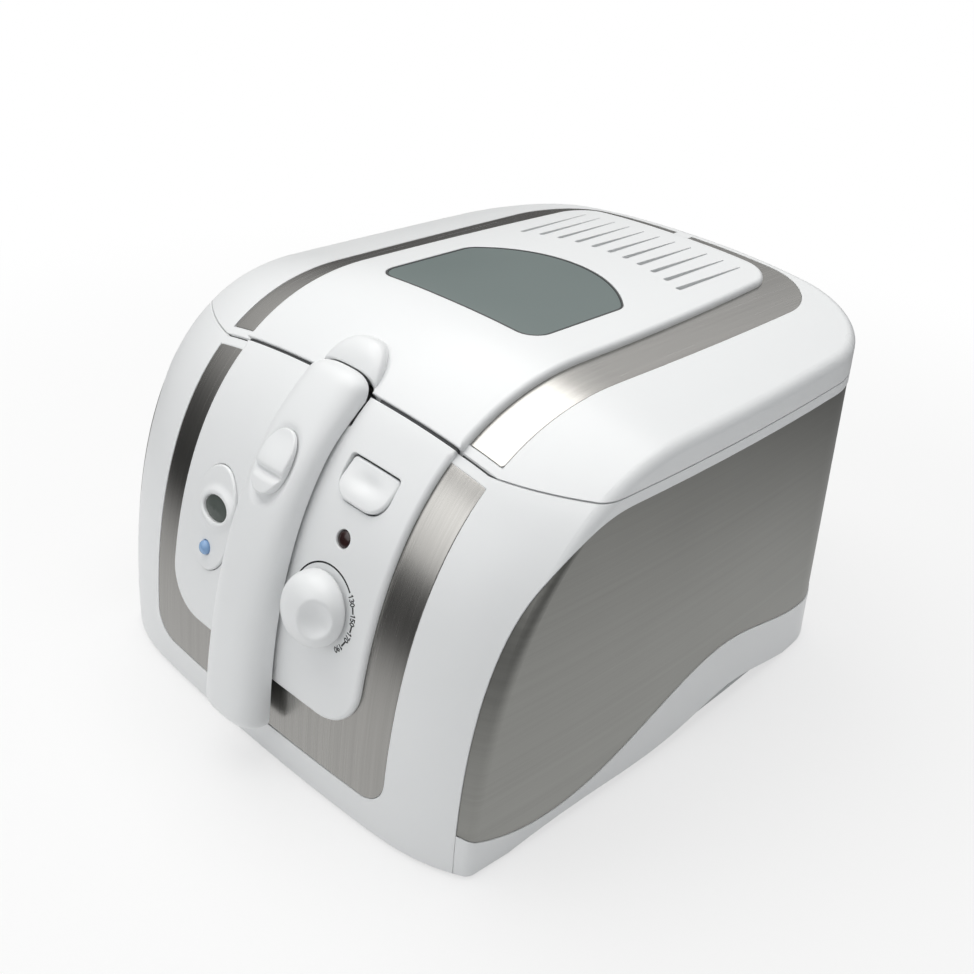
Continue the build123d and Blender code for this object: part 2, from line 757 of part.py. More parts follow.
def inner_deck():
    deck = envelope(WALL) & slab(WRAPPER_TOP_Z, FLANGE_Z)
    sill = envelope(WALL) & above(WRAPPER_TOP_Z) & behind(SILL_FRONT_Y)
    sill = sill - behind(SILL_REAR_Y)
    hole = upright(pot_outline(POT_WALL + TRIM_GAP), WRAPPER_TOP_Z - 20, CROWN_Z)
    deck = (deck + sill) - hole - barrel_room() - gearing_way() - sector_way() - catch_way()
    return deck + latch_lugs()


def oil_pot():
    outer = upright(pot_outline(POT_WALL), POT_FLOOR_Z - POT_WALL, POT_RIM_Z)
    inner = upright(pot_outline(), POT_FLOOR_Z, POT_RIM_Z + 10)
    outer = fillet(outer.edges().group_by(Axis.Z)[0], POT_FLOOR_ROUND + POT_WALL)
    inner = fillet(inner.edges().group_by(Axis.Z)[0], POT_FLOOR_ROUND)
    flange = upright(pot_outline(FLANGE_WIDTH), FLANGE_Z, POT_RIM_Z)
    return outer + flange - inner - gearing_way() - catch_way()


def heating_element():
    low = POT_FLOOR_Z - POT_WALL - ELEMENT_TUBE
    middle = (POT_FRONT_Y + POT_REAR_Y) / 2
    ring = Pos(0, middle, low) * Torus(ELEMENT_RADIUS, ELEMENT_TUBE)
    start = middle - ELEMENT_RADIUS
    length = start - ELEMENT_LEG_END_Y
    for side in (-1, 1):
        leg = Rot(90, 0, 0) * Cylinder(ELEMENT_TUBE, length)
        ring = ring + Pos(side * ELEMENT_LEG_X, start - length / 2 + 1.5, low) * leg
    return ring


def element_bracket():
    top = POT_FLOOR_Z - POT_WALL
    low = top - 2 * ELEMENT_TUBE
    middle = (POT_FRONT_Y + POT_REAR_Y) / 2
    reach = ELEMENT_RADIUS + 2 * ELEMENT_TUBE
    strap = block(-reach, reach, middle - STRAP_HALF, middle + STRAP_HALF, low - STRAP_THICK, low)
    return strap + Pos(0, middle, (low + top) / 2) * Cylinder(STUD_RADIUS, top - low)


def thermal_cutout():
    top = POT_FLOOR_Z - POT_WALL
    middle = (POT_FRONT_Y + POT_REAR_Y) / 2
    can = Pos(0, 0, -CUTOUT_HEIGHT / 2) * Cylinder(CUTOUT_RADIUS, CUTOUT_HEIGHT)
    can = can + Pos(0, 0, CUTOUT_TAB[2] / 2 - CUTOUT_HEIGHT) * Box(*CUTOUT_TAB)
    return Pos(CUTOUT_SHIFT, middle + CUTOUT_SHIFT, top) * can


def terminal_block():
    low = PLATE_Z + PLATE_THICK
    height = TERMINAL_SIZE[2]
    body = Pos(0, 0, height / 2) * Box(*TERMINAL_SIZE)
    for step in (-1, 0, 1):
        body = body - Pos(step * TERMINAL_PITCH, 0, height) * Cylinder(TERMINAL_HOLE, 2 * TERMINAL_HOLE_DEPTH)
    return Pos(*TERMINAL_PLACE, low) * body


def gland_rod(radius):
    return Pos(GLAND_X, REAR_Y, GLAND_Z) * Rot(90, 0, 0) * Cylinder(radius, 60)


def cord_gland():
    face = REAR_Y + REAR_BULGE
    inside = face - GLAND_INSIDE
    body = gland_rod(GLAND_RADIUS) & block(0, BIG, inside, face + 1, 0, BIG)
    flange = gland_rod(GLAND_FLANGE) & block(0, BIG, face, face + GLAND_LIP, 0, BIG)
    return body + flange - gland_rod(GLAND_BORE)


# Controls

def outward(place):
    plane = skin_frame(place)
    return Axis(plane.origin, plane.z_dir)


def lens_prism(grow, low, high):
    # Set in the bezel, so it stands on the bezel's own plane
    plane = skin_frame(TIMER_PLACE)
    shift = plane.to_local_coords(skin_frame(LENS_PLACE).origin)
    sketch = Ellipse(LENS_HALF[0] + grow, LENS_HALF[1] + grow)
    return plane * Pos(shift.X, shift.Y, low) * extrude(sketch, high - low)


def timer_bezel():
    ring = timer_prism(0, -10, TIMER_RISE)
    ring = fillet(ring.edges().sort_by(outward(TIMER_PLACE))[-1], 1.2)
    ring = ring - front_block(0.0)
    ring = ring - lens_prism(TRIM_GAP, TIMER_RISE - LENS_DEPTH, 20)
    return ring - rod(skin_frame(TIMER_BUTTON_PLACE), TIMER_BUTTON_RADIUS + BUTTON_GAP, -20, 20)


def timer_lens():
    lens = lens_prism(0, TIMER_RISE - LENS_DEPTH, TIMER_RISE + 0.8)
    return fillet(lens.edges().sort_by(outward(TIMER_PLACE))[-1], 0.6)


def timer_module():
    width, length, depth = TIMER_MODULE
    box = skin_frame(TIMER_PLACE) * Pos(0, 0, -WALL - depth / 2 + 1) * Box(width, length, depth + 2)
    box = box & front_block(WALL)
    return box - rod(skin_frame(TIMER_BUTTON_PLACE), TIMER_BUTTON_RADIUS + 1, -10, 10)


def timer_button():
    button = rod(skin_frame(TIMER_BUTTON_PLACE), TIMER_BUTTON_RADIUS, -7.5, TIMER_BUTTON_RISE)
    return fillet(button.edges().sort_by(outward(TIMER_BUTTON_PLACE))[-1], 1.2)


def pilot_lens():
    lens = rod(skin_frame(PILOT_PLACE), PILOT_RADIUS, -WALL - 1, PILOT_RISE)
    return fillet(lens.edges().sort_by(outward(PILOT_PLACE))[-1], 1.6)


def pilot_lamp():
    lamp = rod(skin_frame(PILOT_PLACE), PILOT_RADIUS + 2, -16, 0) & front_block(WALL)
    return lamp - rod(skin_frame(PILOT_PLACE), PILOT_RADIUS + RUNNING_GAP, -WALL - 1, 10)


def thermostat_body():
    width, length, depth = THERMOSTAT
    plane = skin_frame(KNOB_PLACE)
    box = plane * Pos(0, 0, -WALL - depth / 2 + 1) * Box(width, length, depth + 2)
    box = box & front_block(WALL)
    box = box + rod(plane, BUSH_RADIUS, -WALL - depth / 2, PANEL_RISE - 0.3)
    return box - rod(plane, SHAFT_RADIUS + RUNNING_GAP, -WALL - depth + 3, 20)


def thermostat_shaft():
    depth = THERMOSTAT[2]
    top = PANEL_RISE + KNOB_GAP + KNOB_HEIGHT - 5
    return rod(skin_frame(KNOB_PLACE), SHAFT_RADIUS, -WALL - depth + 3.5, top)


def thermostat_knob():
    plane = skin_frame(KNOB_PLACE)
    low = PANEL_RISE + KNOB_GAP
    high = low + KNOB_HEIGHT
    knob = plane * Pos(0, 0, (low + high) / 2) * Cone(KNOB_RADIUS, KNOB_RADIUS - 1.5, high - low)
    knob = fillet(knob.edges().sort_by(outward(KNOB_PLACE))[-1], KNOB_ROUND)
    return knob - rod(plane, SHAFT_RADIUS, low - 1, high - 5)


def release_button():
    return release_prism(0, -RELEASE_DEPTH, RELEASE_RISE)


def bar(start, end, width):
    # Round-ended bar between two places in (Y, Z)
    run = (end[0] - start[0], end[1] - start[1])
    middle = ((start[0] + end[0]) / 2, (start[1] + end[1]) / 2)
    web = Pos(*middle) * Rot(0, 0, degrees(atan2(run[1], run[0]))) * Rectangle(hypot(*run), width)
    return web + Pos(*start) * Circle(width / 2) + Pos(*end) * Circle(width / 2)


def latch_pad():
    # Centre of the lever's round end, just behind the button
    depth = RELEASE_DEPTH + BUTTON_GAP + LATCH_ARM / 2
    place = skin_frame(RELEASE_PLACE).from_local_coords(Vector(0, -LATCH_PAD_DROP, -depth))
    return place.Y, place.Z


def release_latch():
    # Rocking lever: the button pushes its low end in, so its nose draws back from the lid's catch
    elbow = (LATCH_PIVOT[0], LATCH_NOSE_Z)
    tip = (LID_FRONT_Y - SIDE_GAP - LATCH_ARM / 2, LATCH_NOSE_Z)
    corners = [latch_pad(), LATCH_PIVOT, elbow, tip]
    lever = Sketch() + [bar(start, end, LATCH_ARM) for start, end in zip(corners, corners[1:])]
    solid = Pos(RELEASE_PLACE[0], 0, 0) * extrude(Plane.YZ * lever, LATCH_HALF, both=True)
    return solid - cross_rod(*LATCH_PIVOT, LATCH_PIN_RADIUS + RUNNING_GAP, 20, RELEASE_PLACE[0])


def latch_pin():
    return cross_rod(*LATCH_PIVOT, LATCH_PIN_RADIUS, LATCH_HALF + SIDE_GAP + LATCH_LUG, RELEASE_PLACE[0])


def latch_lugs():
    lugs = None
    inner = LATCH_HALF + SIDE_GAP
    y, z = LATCH_PIVOT
    outline = Pos(y, (z + FLANGE_Z) / 2) * Rectangle(2 * LATCH_LUG_RADIUS, FLANGE_Z - z)
    outline = outline + Pos(y, z) * Circle(LATCH_LUG_RADIUS)
    for side in (-1, 1):
        x = RELEASE_PLACE[0] + side * (inner + LATCH_LUG / 2)
        lug = Pos(x, 0, 0) * extrude(Plane.YZ * outline, LATCH_LUG / 2, both=True)
        lugs = lug if lugs is None else lugs + lug
    return (lugs & envelope(WALL)) - cross_rod(*LATCH_PIVOT, LATCH_PIN_RADIUS, 30, RELEASE_PLACE[0])


# Lift handle

def handle_band(inner, outer, half_width, low_z=None):
    # Bar that follows the front between two pairs of offsets, (top, bottom)
    low_t = skin_parameter(0.0, 1, HANDLE_LOW_Z if low_z is None else low_z)
    steps = 6
    inner_points, outer_points = [], []
    for step in range(steps + 1):
        share = step / steps
        t = PIVOT_T + (low_t - PIVOT_T) * share
        swell = share ** 1.5
        inner_points.append(skin_offset(t, inner[0] + (inner[1] - inner[0]) * swell))
        outer_points.append(skin_offset(t, outer[0] + (outer[1] - outer[0]) * swell))
    return extrude_side(
        half_width,
        lambda: Spline(*outer_points),
        lambda: Line(outer_points[-1], inner_points[-1]),
        lambda: Spline(*reversed(inner_points)),
        lambda: Line(inner_points[0], outer_points[0]),
    )


def extrude_side(half_width, *lines):
    with BuildSketch(Plane.YZ) as outline:
        with BuildLine():
            for line in lines:
                line()
        make_face()
    return extrude(outline.sketch, half_width, both=True)


def handle_grip():
    split = HANDLE_BACK + HANDLE_LINER
    rise = (HANDLE_TOP_RISE, HANDLE_LOW_RISE)
    band = handle_band((split, split), rise, HANDLE_HALF_WIDTH)
    curved = [edge for edge in band.edges() if edge.geom_type == GeomType.BSPLINE]
    curved.sort(key=lambda edge: (edge @ 0.5).Y - (edge @ 0.5).Z)
    foot = band.edges().filter_by(Axis.X).sort_by(Axis.Y)[0]
    band = fillet(curved[:2] + [foot], HANDLE_ROUND)
    barrel = cross_rod(*HANDLE_PIVOT, BARREL_RADIUS, HANDLE_HALF_WIDTH)
    barrel = fillet(barrel.edges().filter_by(GeomType.CIRCLE), BARREL_ROUND)
    room = (rise[0] - HANDLE_WALL, rise[1] - HANDLE_WALL)
    pocket = handle_band((split - 1, split - 1), room, HANDLE_HALF_WIDTH - HANDLE_WALL - 1, HANDLE_LOW_Z + 6)
    pocket = pocket - cross_rod(*HANDLE_PIVOT, BARREL_RADIUS + 2, HANDLE_HALF_WIDTH)
    grip = (band - pocket) + (barrel - handle_band((-40, -40), (split, split), HANDLE_HALF_WIDTH))
    cheeks = CHEEK_OUTER + SIDE_GAP
    grip = grip - cross_rod(*HANDLE_PIVOT, CHEEK_ROUND + BARREL_CLEARANCE, cheeks)
    way = pie(BARREL_RADIUS + 6, MESH_ANGLE - CHEEK_SPREAD, MESH_ANGLE + HANDLE_TRAVEL + CHEEK_SPREAD)
    grip = grip - side_solid(way, cheeks, HANDLE_PIVOT)
    stem_slot = slide_frame() * Pos(0, SLIDE_TRAVEL / 2, 0) * Box(
        SLIDE_STEM[0] + 1, SLIDE_STEM[1] + SLIDE_TRAVEL + 1, 12
    )
    return grip - stem_slot - handle_pin_rod(HANDLE_PIN_RADIUS)


def handle_liner():
    split = HANDLE_BACK + HANDLE_LINER
    liner = handle_band((HANDLE_BACK, HANDLE_BACK), (split, split), HANDLE_HALF_WIDTH)
    liner = liner - cross_rod(*HANDLE_PIVOT, BARREL_RADIUS + 1.5, HANDLE_HALF_WIDTH + 1)
    for place in handle_screw_planes():
        liner = liner - rod(place, SCREW_RADIUS + 0.1, -20, 20)
    return liner


def handle_screw_planes():
    return [skin_frame((0.0, z), HANDLE_BACK) for z in HANDLE_SCREW_Z]


def handle_pin_rod(radius):
    return cross_rod(*HANDLE_PIVOT, radius, HANDLE_HALF_WIDTH - HANDLE_PIN_INSET)


def handle_pin():
    return handle_pin_rod(HANDLE_PIN_RADIUS)


def slide_frame(lift=0.0):
    t = skin_parameter(0.0, 1, SLIDE_Z)
    low_t = skin_parameter(0.0, 1, HANDLE_LOW_Z)
    share = (t - PIVOT_T) / (low_t - PIVOT_T)
    rise = HANDLE_TOP_RISE + (HANDLE_LOW_RISE - HANDLE_TOP_RISE) * share ** 1.5
    return skin_frame((0.0, SLIDE_Z), rise + lift)


def handle_slide():
    plane = slide_frame(SLIDE_GAP)
    cap = plane * Pos(0, 0, SLIDE_RISE / 2) * Box(SLIDE_WIDTH, SLIDE_LENGTH, SLIDE_RISE)
    cap = fillet(cap.edges().group_by(Axis(plane.origin, plane.z_dir))[-1], SLIDE_EDGE)
    stem = plane * Pos(0, 0, 0.5 - SLIDE_STEM[2] / 2) * Box(*SLIDE_STEM)
    foot = plane * Pos(0, 0, -SLIDE_FOOT_DROP) * Box(*SLIDE_FOOT)
    return cap + stem + foot


# Lift gearing

def tooth(base):
    # Straight-sided tooth about the local X axis, from below the root to the tip
    pitch = pi * MODULE
    half = (pitch - BACKLASH) / 4
    lean = tan(radians(PRESSURE_ANGLE))
    root = half + DEDENDUM * lean
    tip = half - ADDENDUM * lean
    sketch = Polygon(
        (base - DEDENDUM - 1, -root),
        (base - DEDENDUM, -root),
        (base + ADDENDUM, -tip),
        (base + ADDENDUM, tip),
        (base - DEDENDUM, root),
        (base - DEDENDUM - 1, root),
        align=None,
    )
    return sketch


def lift_sector():
    sketch = pie(SECTOR_RADIUS - DEDENDUM, SECTOR_START, SECTOR_END) + Circle(HUB_RADIUS)
    for index in range(-1, SECTOR_AHEAD + 1):
        sketch = sketch + Rot(0, 0, MESH_ANGLE + index * SECTOR_STEP) * tooth(SECTOR_RADIUS)
    sector = side_solid(sketch, SECTOR_THICK / 2, HANDLE_PIVOT)
    return sector - handle_pin_rod(HANDLE_PIN_RADIUS)


def lift_pinion():
    step = 360.0 / PINION_TEETH
    sketch = Circle(PINION_RADIUS - DEDENDUM)
    for index in range(PINION_TEETH):
        sketch = sketch + Rot(0, 0, MESH_ANGLE + 180 + (index + 0.5) * step) * tooth(PINION_RADIUS)
    pinion = side_solid(sketch, PINION_THICK / 2, PINION_PIVOT)
    return pinion + cross_rod(*PINION_PIVOT, PINION_PIN_RADIUS, CHEEK_OUTER + 1)


def rack_phase():
    # Height, over the pinion's centre, of the tooth space that faces the rack
    step = 360.0 / PINION_TEETH
    angle = (MESH_ANGLE + 180) % step
    if angle > step / 2:
        angle -= step
    return radians(angle) * PINION_RADIUS


def basket_hanger():
    arm_y = CARRIAGE_Y + CARRIAGE_THICK
    plate = block(-CARRIAGE_HALF, CARRIAGE_HALF, CARRIAGE_Y, arm_y, CARRIAGE_LOW_Z, CARRIAGE_TOP_Z)
    pitch = pi * MODULE
    zero = PINION_PIVOT[1] + rack_phase()
    lowest = -int((LIFT + pitch) / pitch) - 1
    half = RACK_THICK / 2
    for index in range(lowest, 1):
        outline = Pos(RACK_LINE_Y, zero + index * pitch) * Rot(0, 0, 180) * tooth(0.0)
        plate = plate + extrude(Plane.YZ * outline, half, both=True)
    arm_top = CARRIAGE_LOW_Z + HANGER_DEPTH
    arm = block(-HANGER_HALF, HANGER_HALF, arm_y, BASKET_FRONT_Y, CARRIAGE_LOW_Z, arm_top)
    return plate + arm


def lift_bracket():
    top, low = HANDLE_PIVOT, PINION_PIVOT
    cheek = bar(top, low, CHEEK_WEB) + Pos(*top) * Circle(CHEEK_ROUND) + Pos(*low) * Circle(CHEEK_ROUND)
    plate_y = POT_FRONT_Y + 0.1
    plate_z = FLANGE_Z
    wing_end = CARRIAGE_HALF + SIDE_GAP + GUIDE_THICK
    guide_end = CARRIAGE_Y + CARRIAGE_THICK + SIDE_GAP + 1.6
    bracket = None
    for side in (-1, 1):
        ear = extrude(Plane.YZ * cheek, CHEEK_THICK)
        ear = Pos(CHEEK_INNER if side > 0 else -CHEEK_OUTER, 0, 0) * ear
        spans = [
            (CHEEK_INNER, wing_end, plate_y, plate_y + 2, GUIDE_LOW_Z, plate_z),
            (wing_end - GUIDE_THICK, wing_end, plate_y, guide_end, GUIDE_LOW_Z, plate_z),
            (wing_end - GUIDE_THICK - GUIDE_LIP, wing_end, guide_end - 1.6, guide_end, GUIDE_LOW_Z, plate_z),
        ]
        for x0, x1, y0, y1, z0, z1 in spans:
            ear = ear + block(min(side * x0, side * x1), max(side * x0, side * x1), y0, y1, z0, z1)
        bracket = ear if bracket is None else bracket + ear
    bridge = block(-CHEEK_OUTER, CHEEK_OUTER, plate_y, plate_y + 2, GUIDE_LOW_Z, GUIDE_LOW_Z + 2)
    bracket = bracket + bridge
    bracket = bracket - cross_rod(*top, HANDLE_PIN_RADIUS + RUNNING_GAP, 30)
    return bracket - cross_rod(*low, PINION_PIN_RADIUS + RUNNING_GAP, 30)


# Basket

def basket_outline(grow=0.0):
    depth = BASKET_REAR_Y - BASKET_FRONT_Y
    middle = (BASKET_REAR_Y + BASKET_FRONT_Y) / 2
    return Pos(0, middle) * RectangleRounded(2 * (BASKET_HALF + grow), depth + 2 * grow, BASKET_CORNER + grow)


def basket_tub():
    top = BASKET_TOP_Z - RIM_WIRE
    outer = upright(basket_outline(), BASKET_FLOOR_Z, top)
    inner = upright(basket_outline(-BASKET_WALL), BASKET_FLOOR_Z + BASKET_WALL, top + 10)
    outer = fillet(outer.edges().group_by(Axis.Z)[0], BASKET_FLOOR_ROUND)
    inner = fillet(inner.edges().group_by(Axis.Z)[0], BASKET_FLOOR_ROUND - BASKET_WALL)
    return outer - inner


def basket_rim():
    ring = upright(basket_outline(), BASKET_TOP_Z - RIM_WIRE, BASKET_TOP_Z)
    return ring - upright(basket_outline(-RIM_WIRE), BASKET_TOP_Z - RIM_WIRE - 1, BASKET_TOP_Z + 1)


# Lid

def lid_room():
    return above(LID_LOW_Z) & behind(LID_FRONT_Y)


def gear_room():
    # Room inside the lid for the sector's sweep and for the raised rack
    half = max(SECTOR_THICK, RACK_THICK) / 2 + 1.2
    reach = SECTOR_RADIUS + ADDENDUM + 1
    sweep = side_solid(Pos(-0.6, 0.6) * pie(reach, -110, SECTOR_END + 1), half, HANDLE_PIVOT)
    rise = CARRIAGE_TOP_Z + LIFT + 0.8
    reach = CARRIAGE_HALF + 1
    front = RACK_LINE_Y - ADDENDUM - 1
    return sweep + block(-reach, reach, front, CARRIAGE_Y + CARRIAGE_THICK + 1.5, SEAM_Z - 20, rise)


def vents():
    slots = None
    half_count = (VENT_COUNT - 1) / 2
    for index in range(VENT_COUNT):
        share = (index - half_count) / half_count
        x = share * half_count * VENT_PITCH
        front = VENT_FRONT_Y - VENT_ARC_DROP * share ** 2
        slot = Pos(x, (front + VENT_REAR_Y) / 2) * SlotOverall(VENT_REAR_Y - front, VENT_WIDTH, rotation=90)
        slots = slot if slots is None else slots + slot
    return plan_prism(slots)


def lid_shell():
    shell = (envelope(0.0) - envelope(WALL)) & lid_room()
    recess = (front_block(0.0) - front_block(STRIP_SHEET)) & plan_prism(strip_outline())
    shell = shell - recess - plan_prism(window_outline(RUNNING_GAP)) - vents()
    shell = shell - barrel_room() - gear_room()
    for side in (-1, 1):
        half = LID_KNUCKLE / 2
        x = side * HINGE_X
        web = block(x - half, x + half, REAR_Y - 1, HINGE_Y, HINGE_Z, HINGE_Z + KNUCKLE_RADIUS)
        shell = shell + web + cross_rod(HINGE_Y, HINGE_Z, KNUCKLE_RADIUS, half, x)
        shell = shell - cross_rod(HINGE_Y, HINGE_Z, HINGE_PIN_RADIUS + RUNNING_GAP, half + 1, x)
    return shell


def lid_panel():
    panel = (front_block(-LID_RISE) - front_block(0.0)) & plan_prism(lid_panel_outline()) & lid_room()
    panel = panel - plan_prism(window_outline(RUNNING_GAP)) - vents()
    return panel - barrel_room() - gear_room() - nose_form()


def nose_form():
    # Egg-shaped bulge over the handle pivot, leaning with the lid
    egg = scale(Sphere(1), by=(HANDLE_HALF_WIDTH + NOSE_SIDE, NOSE_LENGTH, NOSE_HEIGHT))
    egg = Pos(0, HANDLE_PIVOT[0] + NOSE_BACK, HANDLE_PIVOT[1] + NOSE_UP) * Rot(NOSE_TILT, 0, 0) * egg
    return egg & lid_room()


def lid_nose():
    nose = nose_form() - front_block(0.0)
    return nose - barrel_room() - gear_room()


def lid_strip(side):
    sheet = front_block(0.0) - front_block(STRIP_SHEET)
    sheet = sheet & plan_prism(strip_outline(TRIM_GAP))
    return sheet & block(min(0, side * BIG), max(0, side * BIG), -BIG, BIG, 0, BIG)


def window_glass():
    sheet = front_block(-LID_RISE + 0.4) - front_block(WALL / 4)
    return sheet & plan_prism(window_outline(-GASKET_WIDTH))


def window_gasket():
    sheet = front_block(-LID_RISE + 0.1) - front_block(WALL / 4)
    return sheet & (plan_prism(window_outline()) - plan_prism(window_outline(-GASKET_WIDTH)))


def window_well():
    ring = window_outline(2.5) - window_outline(0.5)
    well = upright(ring, LINER_Z + LINER_THICK, CROWN_Z)
    return well & front_block(WALL)


def filter_holes():
    holes = None
    pitch = 2 * GRILLE_HOLE
    columns = int((FILTER_HALF - GRILLE_HOLE) / pitch)
    rows = int((FILTER_REAR_Y - FILTER_FRONT_Y - GRILLE_HOLE) / pitch)
    middle = (FILTER_REAR_Y + FILTER_FRONT_Y) / 2
    for column in range(-columns, columns + 1):
        for row in range(rows):
            y = middle + (row - (rows - 1) / 2) * pitch
            hole = Pos(column * pitch, y) * Rectangle(GRILLE_HOLE, GRILLE_HOLE)
            holes = hole if holes is None else holes + hole
    return holes


def lid_liner():
    plate = envelope(WALL) & slab(LINER_Z, LINER_Z + LINER_THICK)
    plate = plate & behind(POT_FRONT_Y - SEAL_OFFSET - SEAL_WIDTH - 1.5)
    plate = plate - upright(window_outline(0.5), LINER_Z - 1, CROWN_Z)
    plate = plate - upright(filter_holes(), LINER_Z - 1, CROWN_Z)
    return plate - gear_room() - barrel_room() - gearing_way()


def lid_seal():
    ring = pot_outline(SEAL_OFFSET + SEAL_WIDTH) - pot_outline(SEAL_OFFSET)
    seal = upright(ring, POT_RIM_Z + SEAL_GAP, LINER_Z)
    half = CARRIAGE_HALF + 2
    return seal - block(-half, half, POT_FRONT_Y - 20, POT_FRONT_Y + 20, 0, BIG)


def filter_cartridge():
    low = LINER_Z + LINER_THICK
    cartridge = block(-FILTER_HALF, FILTER_HALF, FILTER_FRONT_Y, FILTER_REAR_Y, low, low + FILTER_HEIGHT)
    return fillet(cartridge.edges().filter_by(Axis.Z), FILTER_CORNER)


def filter_grille():
    low = LINER_Z + LINER_THICK + FILTER_HEIGHT
    grille = block(-FILTER_HALF, FILTER_HALF, FILTER_FRONT_Y, FILTER_REAR_Y, low, low + GRILLE_THICK)
    return grille - upright(filter_holes(), low - 1, low + GRILLE_THICK + 1)


def lid_catch():
    # Tongue that hangs from the lid's front edge beside the latch nose
    x = RELEASE_PLACE[0]
    front = LID_FRONT_Y + 0.2
    tongue = block(x - CATCH_HALF, x + CATCH_HALF, front, front + CATCH_THICK, CATCH_LOW_Z, CROWN_Z)
    half = 2 * CATCH_HALF
    root = block(x - half, x + half, front, front + CATCH_ROOT, LINER_Z + LINER_THICK, CROWN_Z)
    catch = (tongue + root) & front_block(WALL)
    half, depth, reach = CATCH_DENT
    low, high = LATCH_NOSE_Z - reach, LATCH_NOSE_Z + reach
    return catch - block(x - half, x + half, front - 1, front + depth, low, high)


def hinge_pins():
    length = LID_KNUCKLE / 2 + KNUCKLE_GAP + BODY_KNUCKLE
    return [cross_rod(HINGE_Y, HINGE_Z, HINGE_PIN_RADIUS, length, side * HINGE_X) for side in (-1, 1)]


def handle_screws():
    screws = []
    for plane in handle_screw_planes():
        head = rod(plane, SCREW_HEAD_RADIUS - 0.3, HANDLE_LINER, HANDLE_LINER + 1.6)
        screws.append(head + rod(plane, SCREW_RADIUS, 0.2, HANDLE_LINER + 0.5))
    return screws


def save(node, shape):
    pieces = shape if isinstance(shape, list) else [shape]
    solids = [solid for piece in pieces for solid in piece.solids()]
    whole = solids[0] if len(solids) == 1 else Compound(children=list(solids))
    export_step(whole, os.path.join("parts", node + ".step"))


NODES = {
    "base_skirt": base_skirt,
    "bottom_plate": bottom_plate,
    "base_screws": base_screws,
    "rubber_feet": rubber_feet,
    "wrapper_left": lambda: wrapper_side_panel(-1),
    "wrapper_right": lambda: wrapper_side_panel(1),
    "wrapper_rear": wrapper_rear,
    "front_housing": front_housing,
    "front_inlay": front_inlay,
    "control_panel": control_panel,
    "inner_deck": inner_deck,
    "oil_pot": oil_pot,
    "heating_element": heating_element,
    "element_bracket": element_bracket,
    "thermal_cutout": thermal_cutout,
    "terminal_block": terminal_block,
    "cord_gland": cord_gland,
    "timer_bezel": timer_bezel,
    "timer_lens": timer_lens,
    "timer_module": timer_module,
    "timer_button": timer_button,
    "pilot_lens": pilot_lens,
    "pilot_lamp": pilot_lamp,
    "thermostat_body": thermostat_body,
    "thermostat_shaft": thermostat_shaft,
    "thermostat_knob": thermostat_knob,
    "release_button": release_button,
    "release_latch": release_latch,
    "latch_pin": latch_pin,
    "handle_grip": handle_grip,
    "handle_liner": handle_liner,
    "handle_screws": handle_screws,
    "handle_pin": handle_pin,
    "handle_slide": handle_slide,
    "lift_sector": lift_sector,
    "lift_pinion": lift_pinion,
    "lift_bracket": lift_bracket,
    "basket_hanger": basket_hanger,
    "basket_tub": basket_tub,
    "basket_rim": basket_rim,
    "lid_shell": lid_shell,
    "lid_panel": lid_panel,
    "lid_nose": lid_nose,
    "lid_strip_left": lambda: lid_strip(-1),
    "lid_strip_right": lambda: lid_strip(1),
    "window_glass": window_glass,
    "window_gasket": window_gasket,
    "window_well": window_well,
    "lid_liner": lid_liner,
    "lid_seal": lid_seal,
    "filter_cartridge": filter_cartridge,
    "filter_grille": filter_grille,
    "lid_catch": lid_catch,
    "hinge_pins": hinge_pins,
}

os.makedirs("parts", exist_ok=True)
for node, make in NODES.items():
    save(node, make())
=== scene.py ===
import json
from math import cos, pi, radians, sin, sqrt

import bpy
import numpy as np
from mathutils import Matrix, Vector
from mathutils.geometry import delaunay_2d_cdt


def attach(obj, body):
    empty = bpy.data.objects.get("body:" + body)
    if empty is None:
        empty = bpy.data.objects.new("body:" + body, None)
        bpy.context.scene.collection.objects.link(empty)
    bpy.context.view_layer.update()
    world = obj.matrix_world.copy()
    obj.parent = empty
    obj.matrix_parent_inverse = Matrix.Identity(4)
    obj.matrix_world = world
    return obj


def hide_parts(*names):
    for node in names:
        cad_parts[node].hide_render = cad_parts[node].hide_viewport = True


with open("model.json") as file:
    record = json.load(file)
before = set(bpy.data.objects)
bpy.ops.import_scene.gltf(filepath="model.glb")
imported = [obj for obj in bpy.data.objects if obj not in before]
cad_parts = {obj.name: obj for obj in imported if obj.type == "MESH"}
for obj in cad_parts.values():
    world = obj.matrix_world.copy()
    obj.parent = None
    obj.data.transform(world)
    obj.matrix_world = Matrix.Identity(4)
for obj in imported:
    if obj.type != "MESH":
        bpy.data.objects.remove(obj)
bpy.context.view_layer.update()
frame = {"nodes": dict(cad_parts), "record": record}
nodes = frame["nodes"]
mm = 0.001  # the solid model's millimetres in scene metres
print("frame loaded:", len(nodes), "nodes")


# Shader wiring

class Wire:
    # one socket of a material; arithmetic on it adds Math nodes
    def __init__(self, paint, socket):
        self.paint = paint
        self.socket = socket

    def math(self, operation, first, second):
        return self.paint.add("ShaderNodeMath", {"operation": operation}, {0: first, 1: second})

    def __add__(self, other):
        return self.math("ADD", self, other)

    def __radd__(self, other):
        return self.math("ADD", other, self)

    def __sub__(self, other):
        return self.math("SUBTRACT", self, other)

    def __rsub__(self, other):
        return self.math("SUBTRACT", other, self)

    def __mul__(self, other):
        return self.math("MULTIPLY", self, other)

    def __rmul__(self, other):
        return self.math("MULTIPLY", other, self)


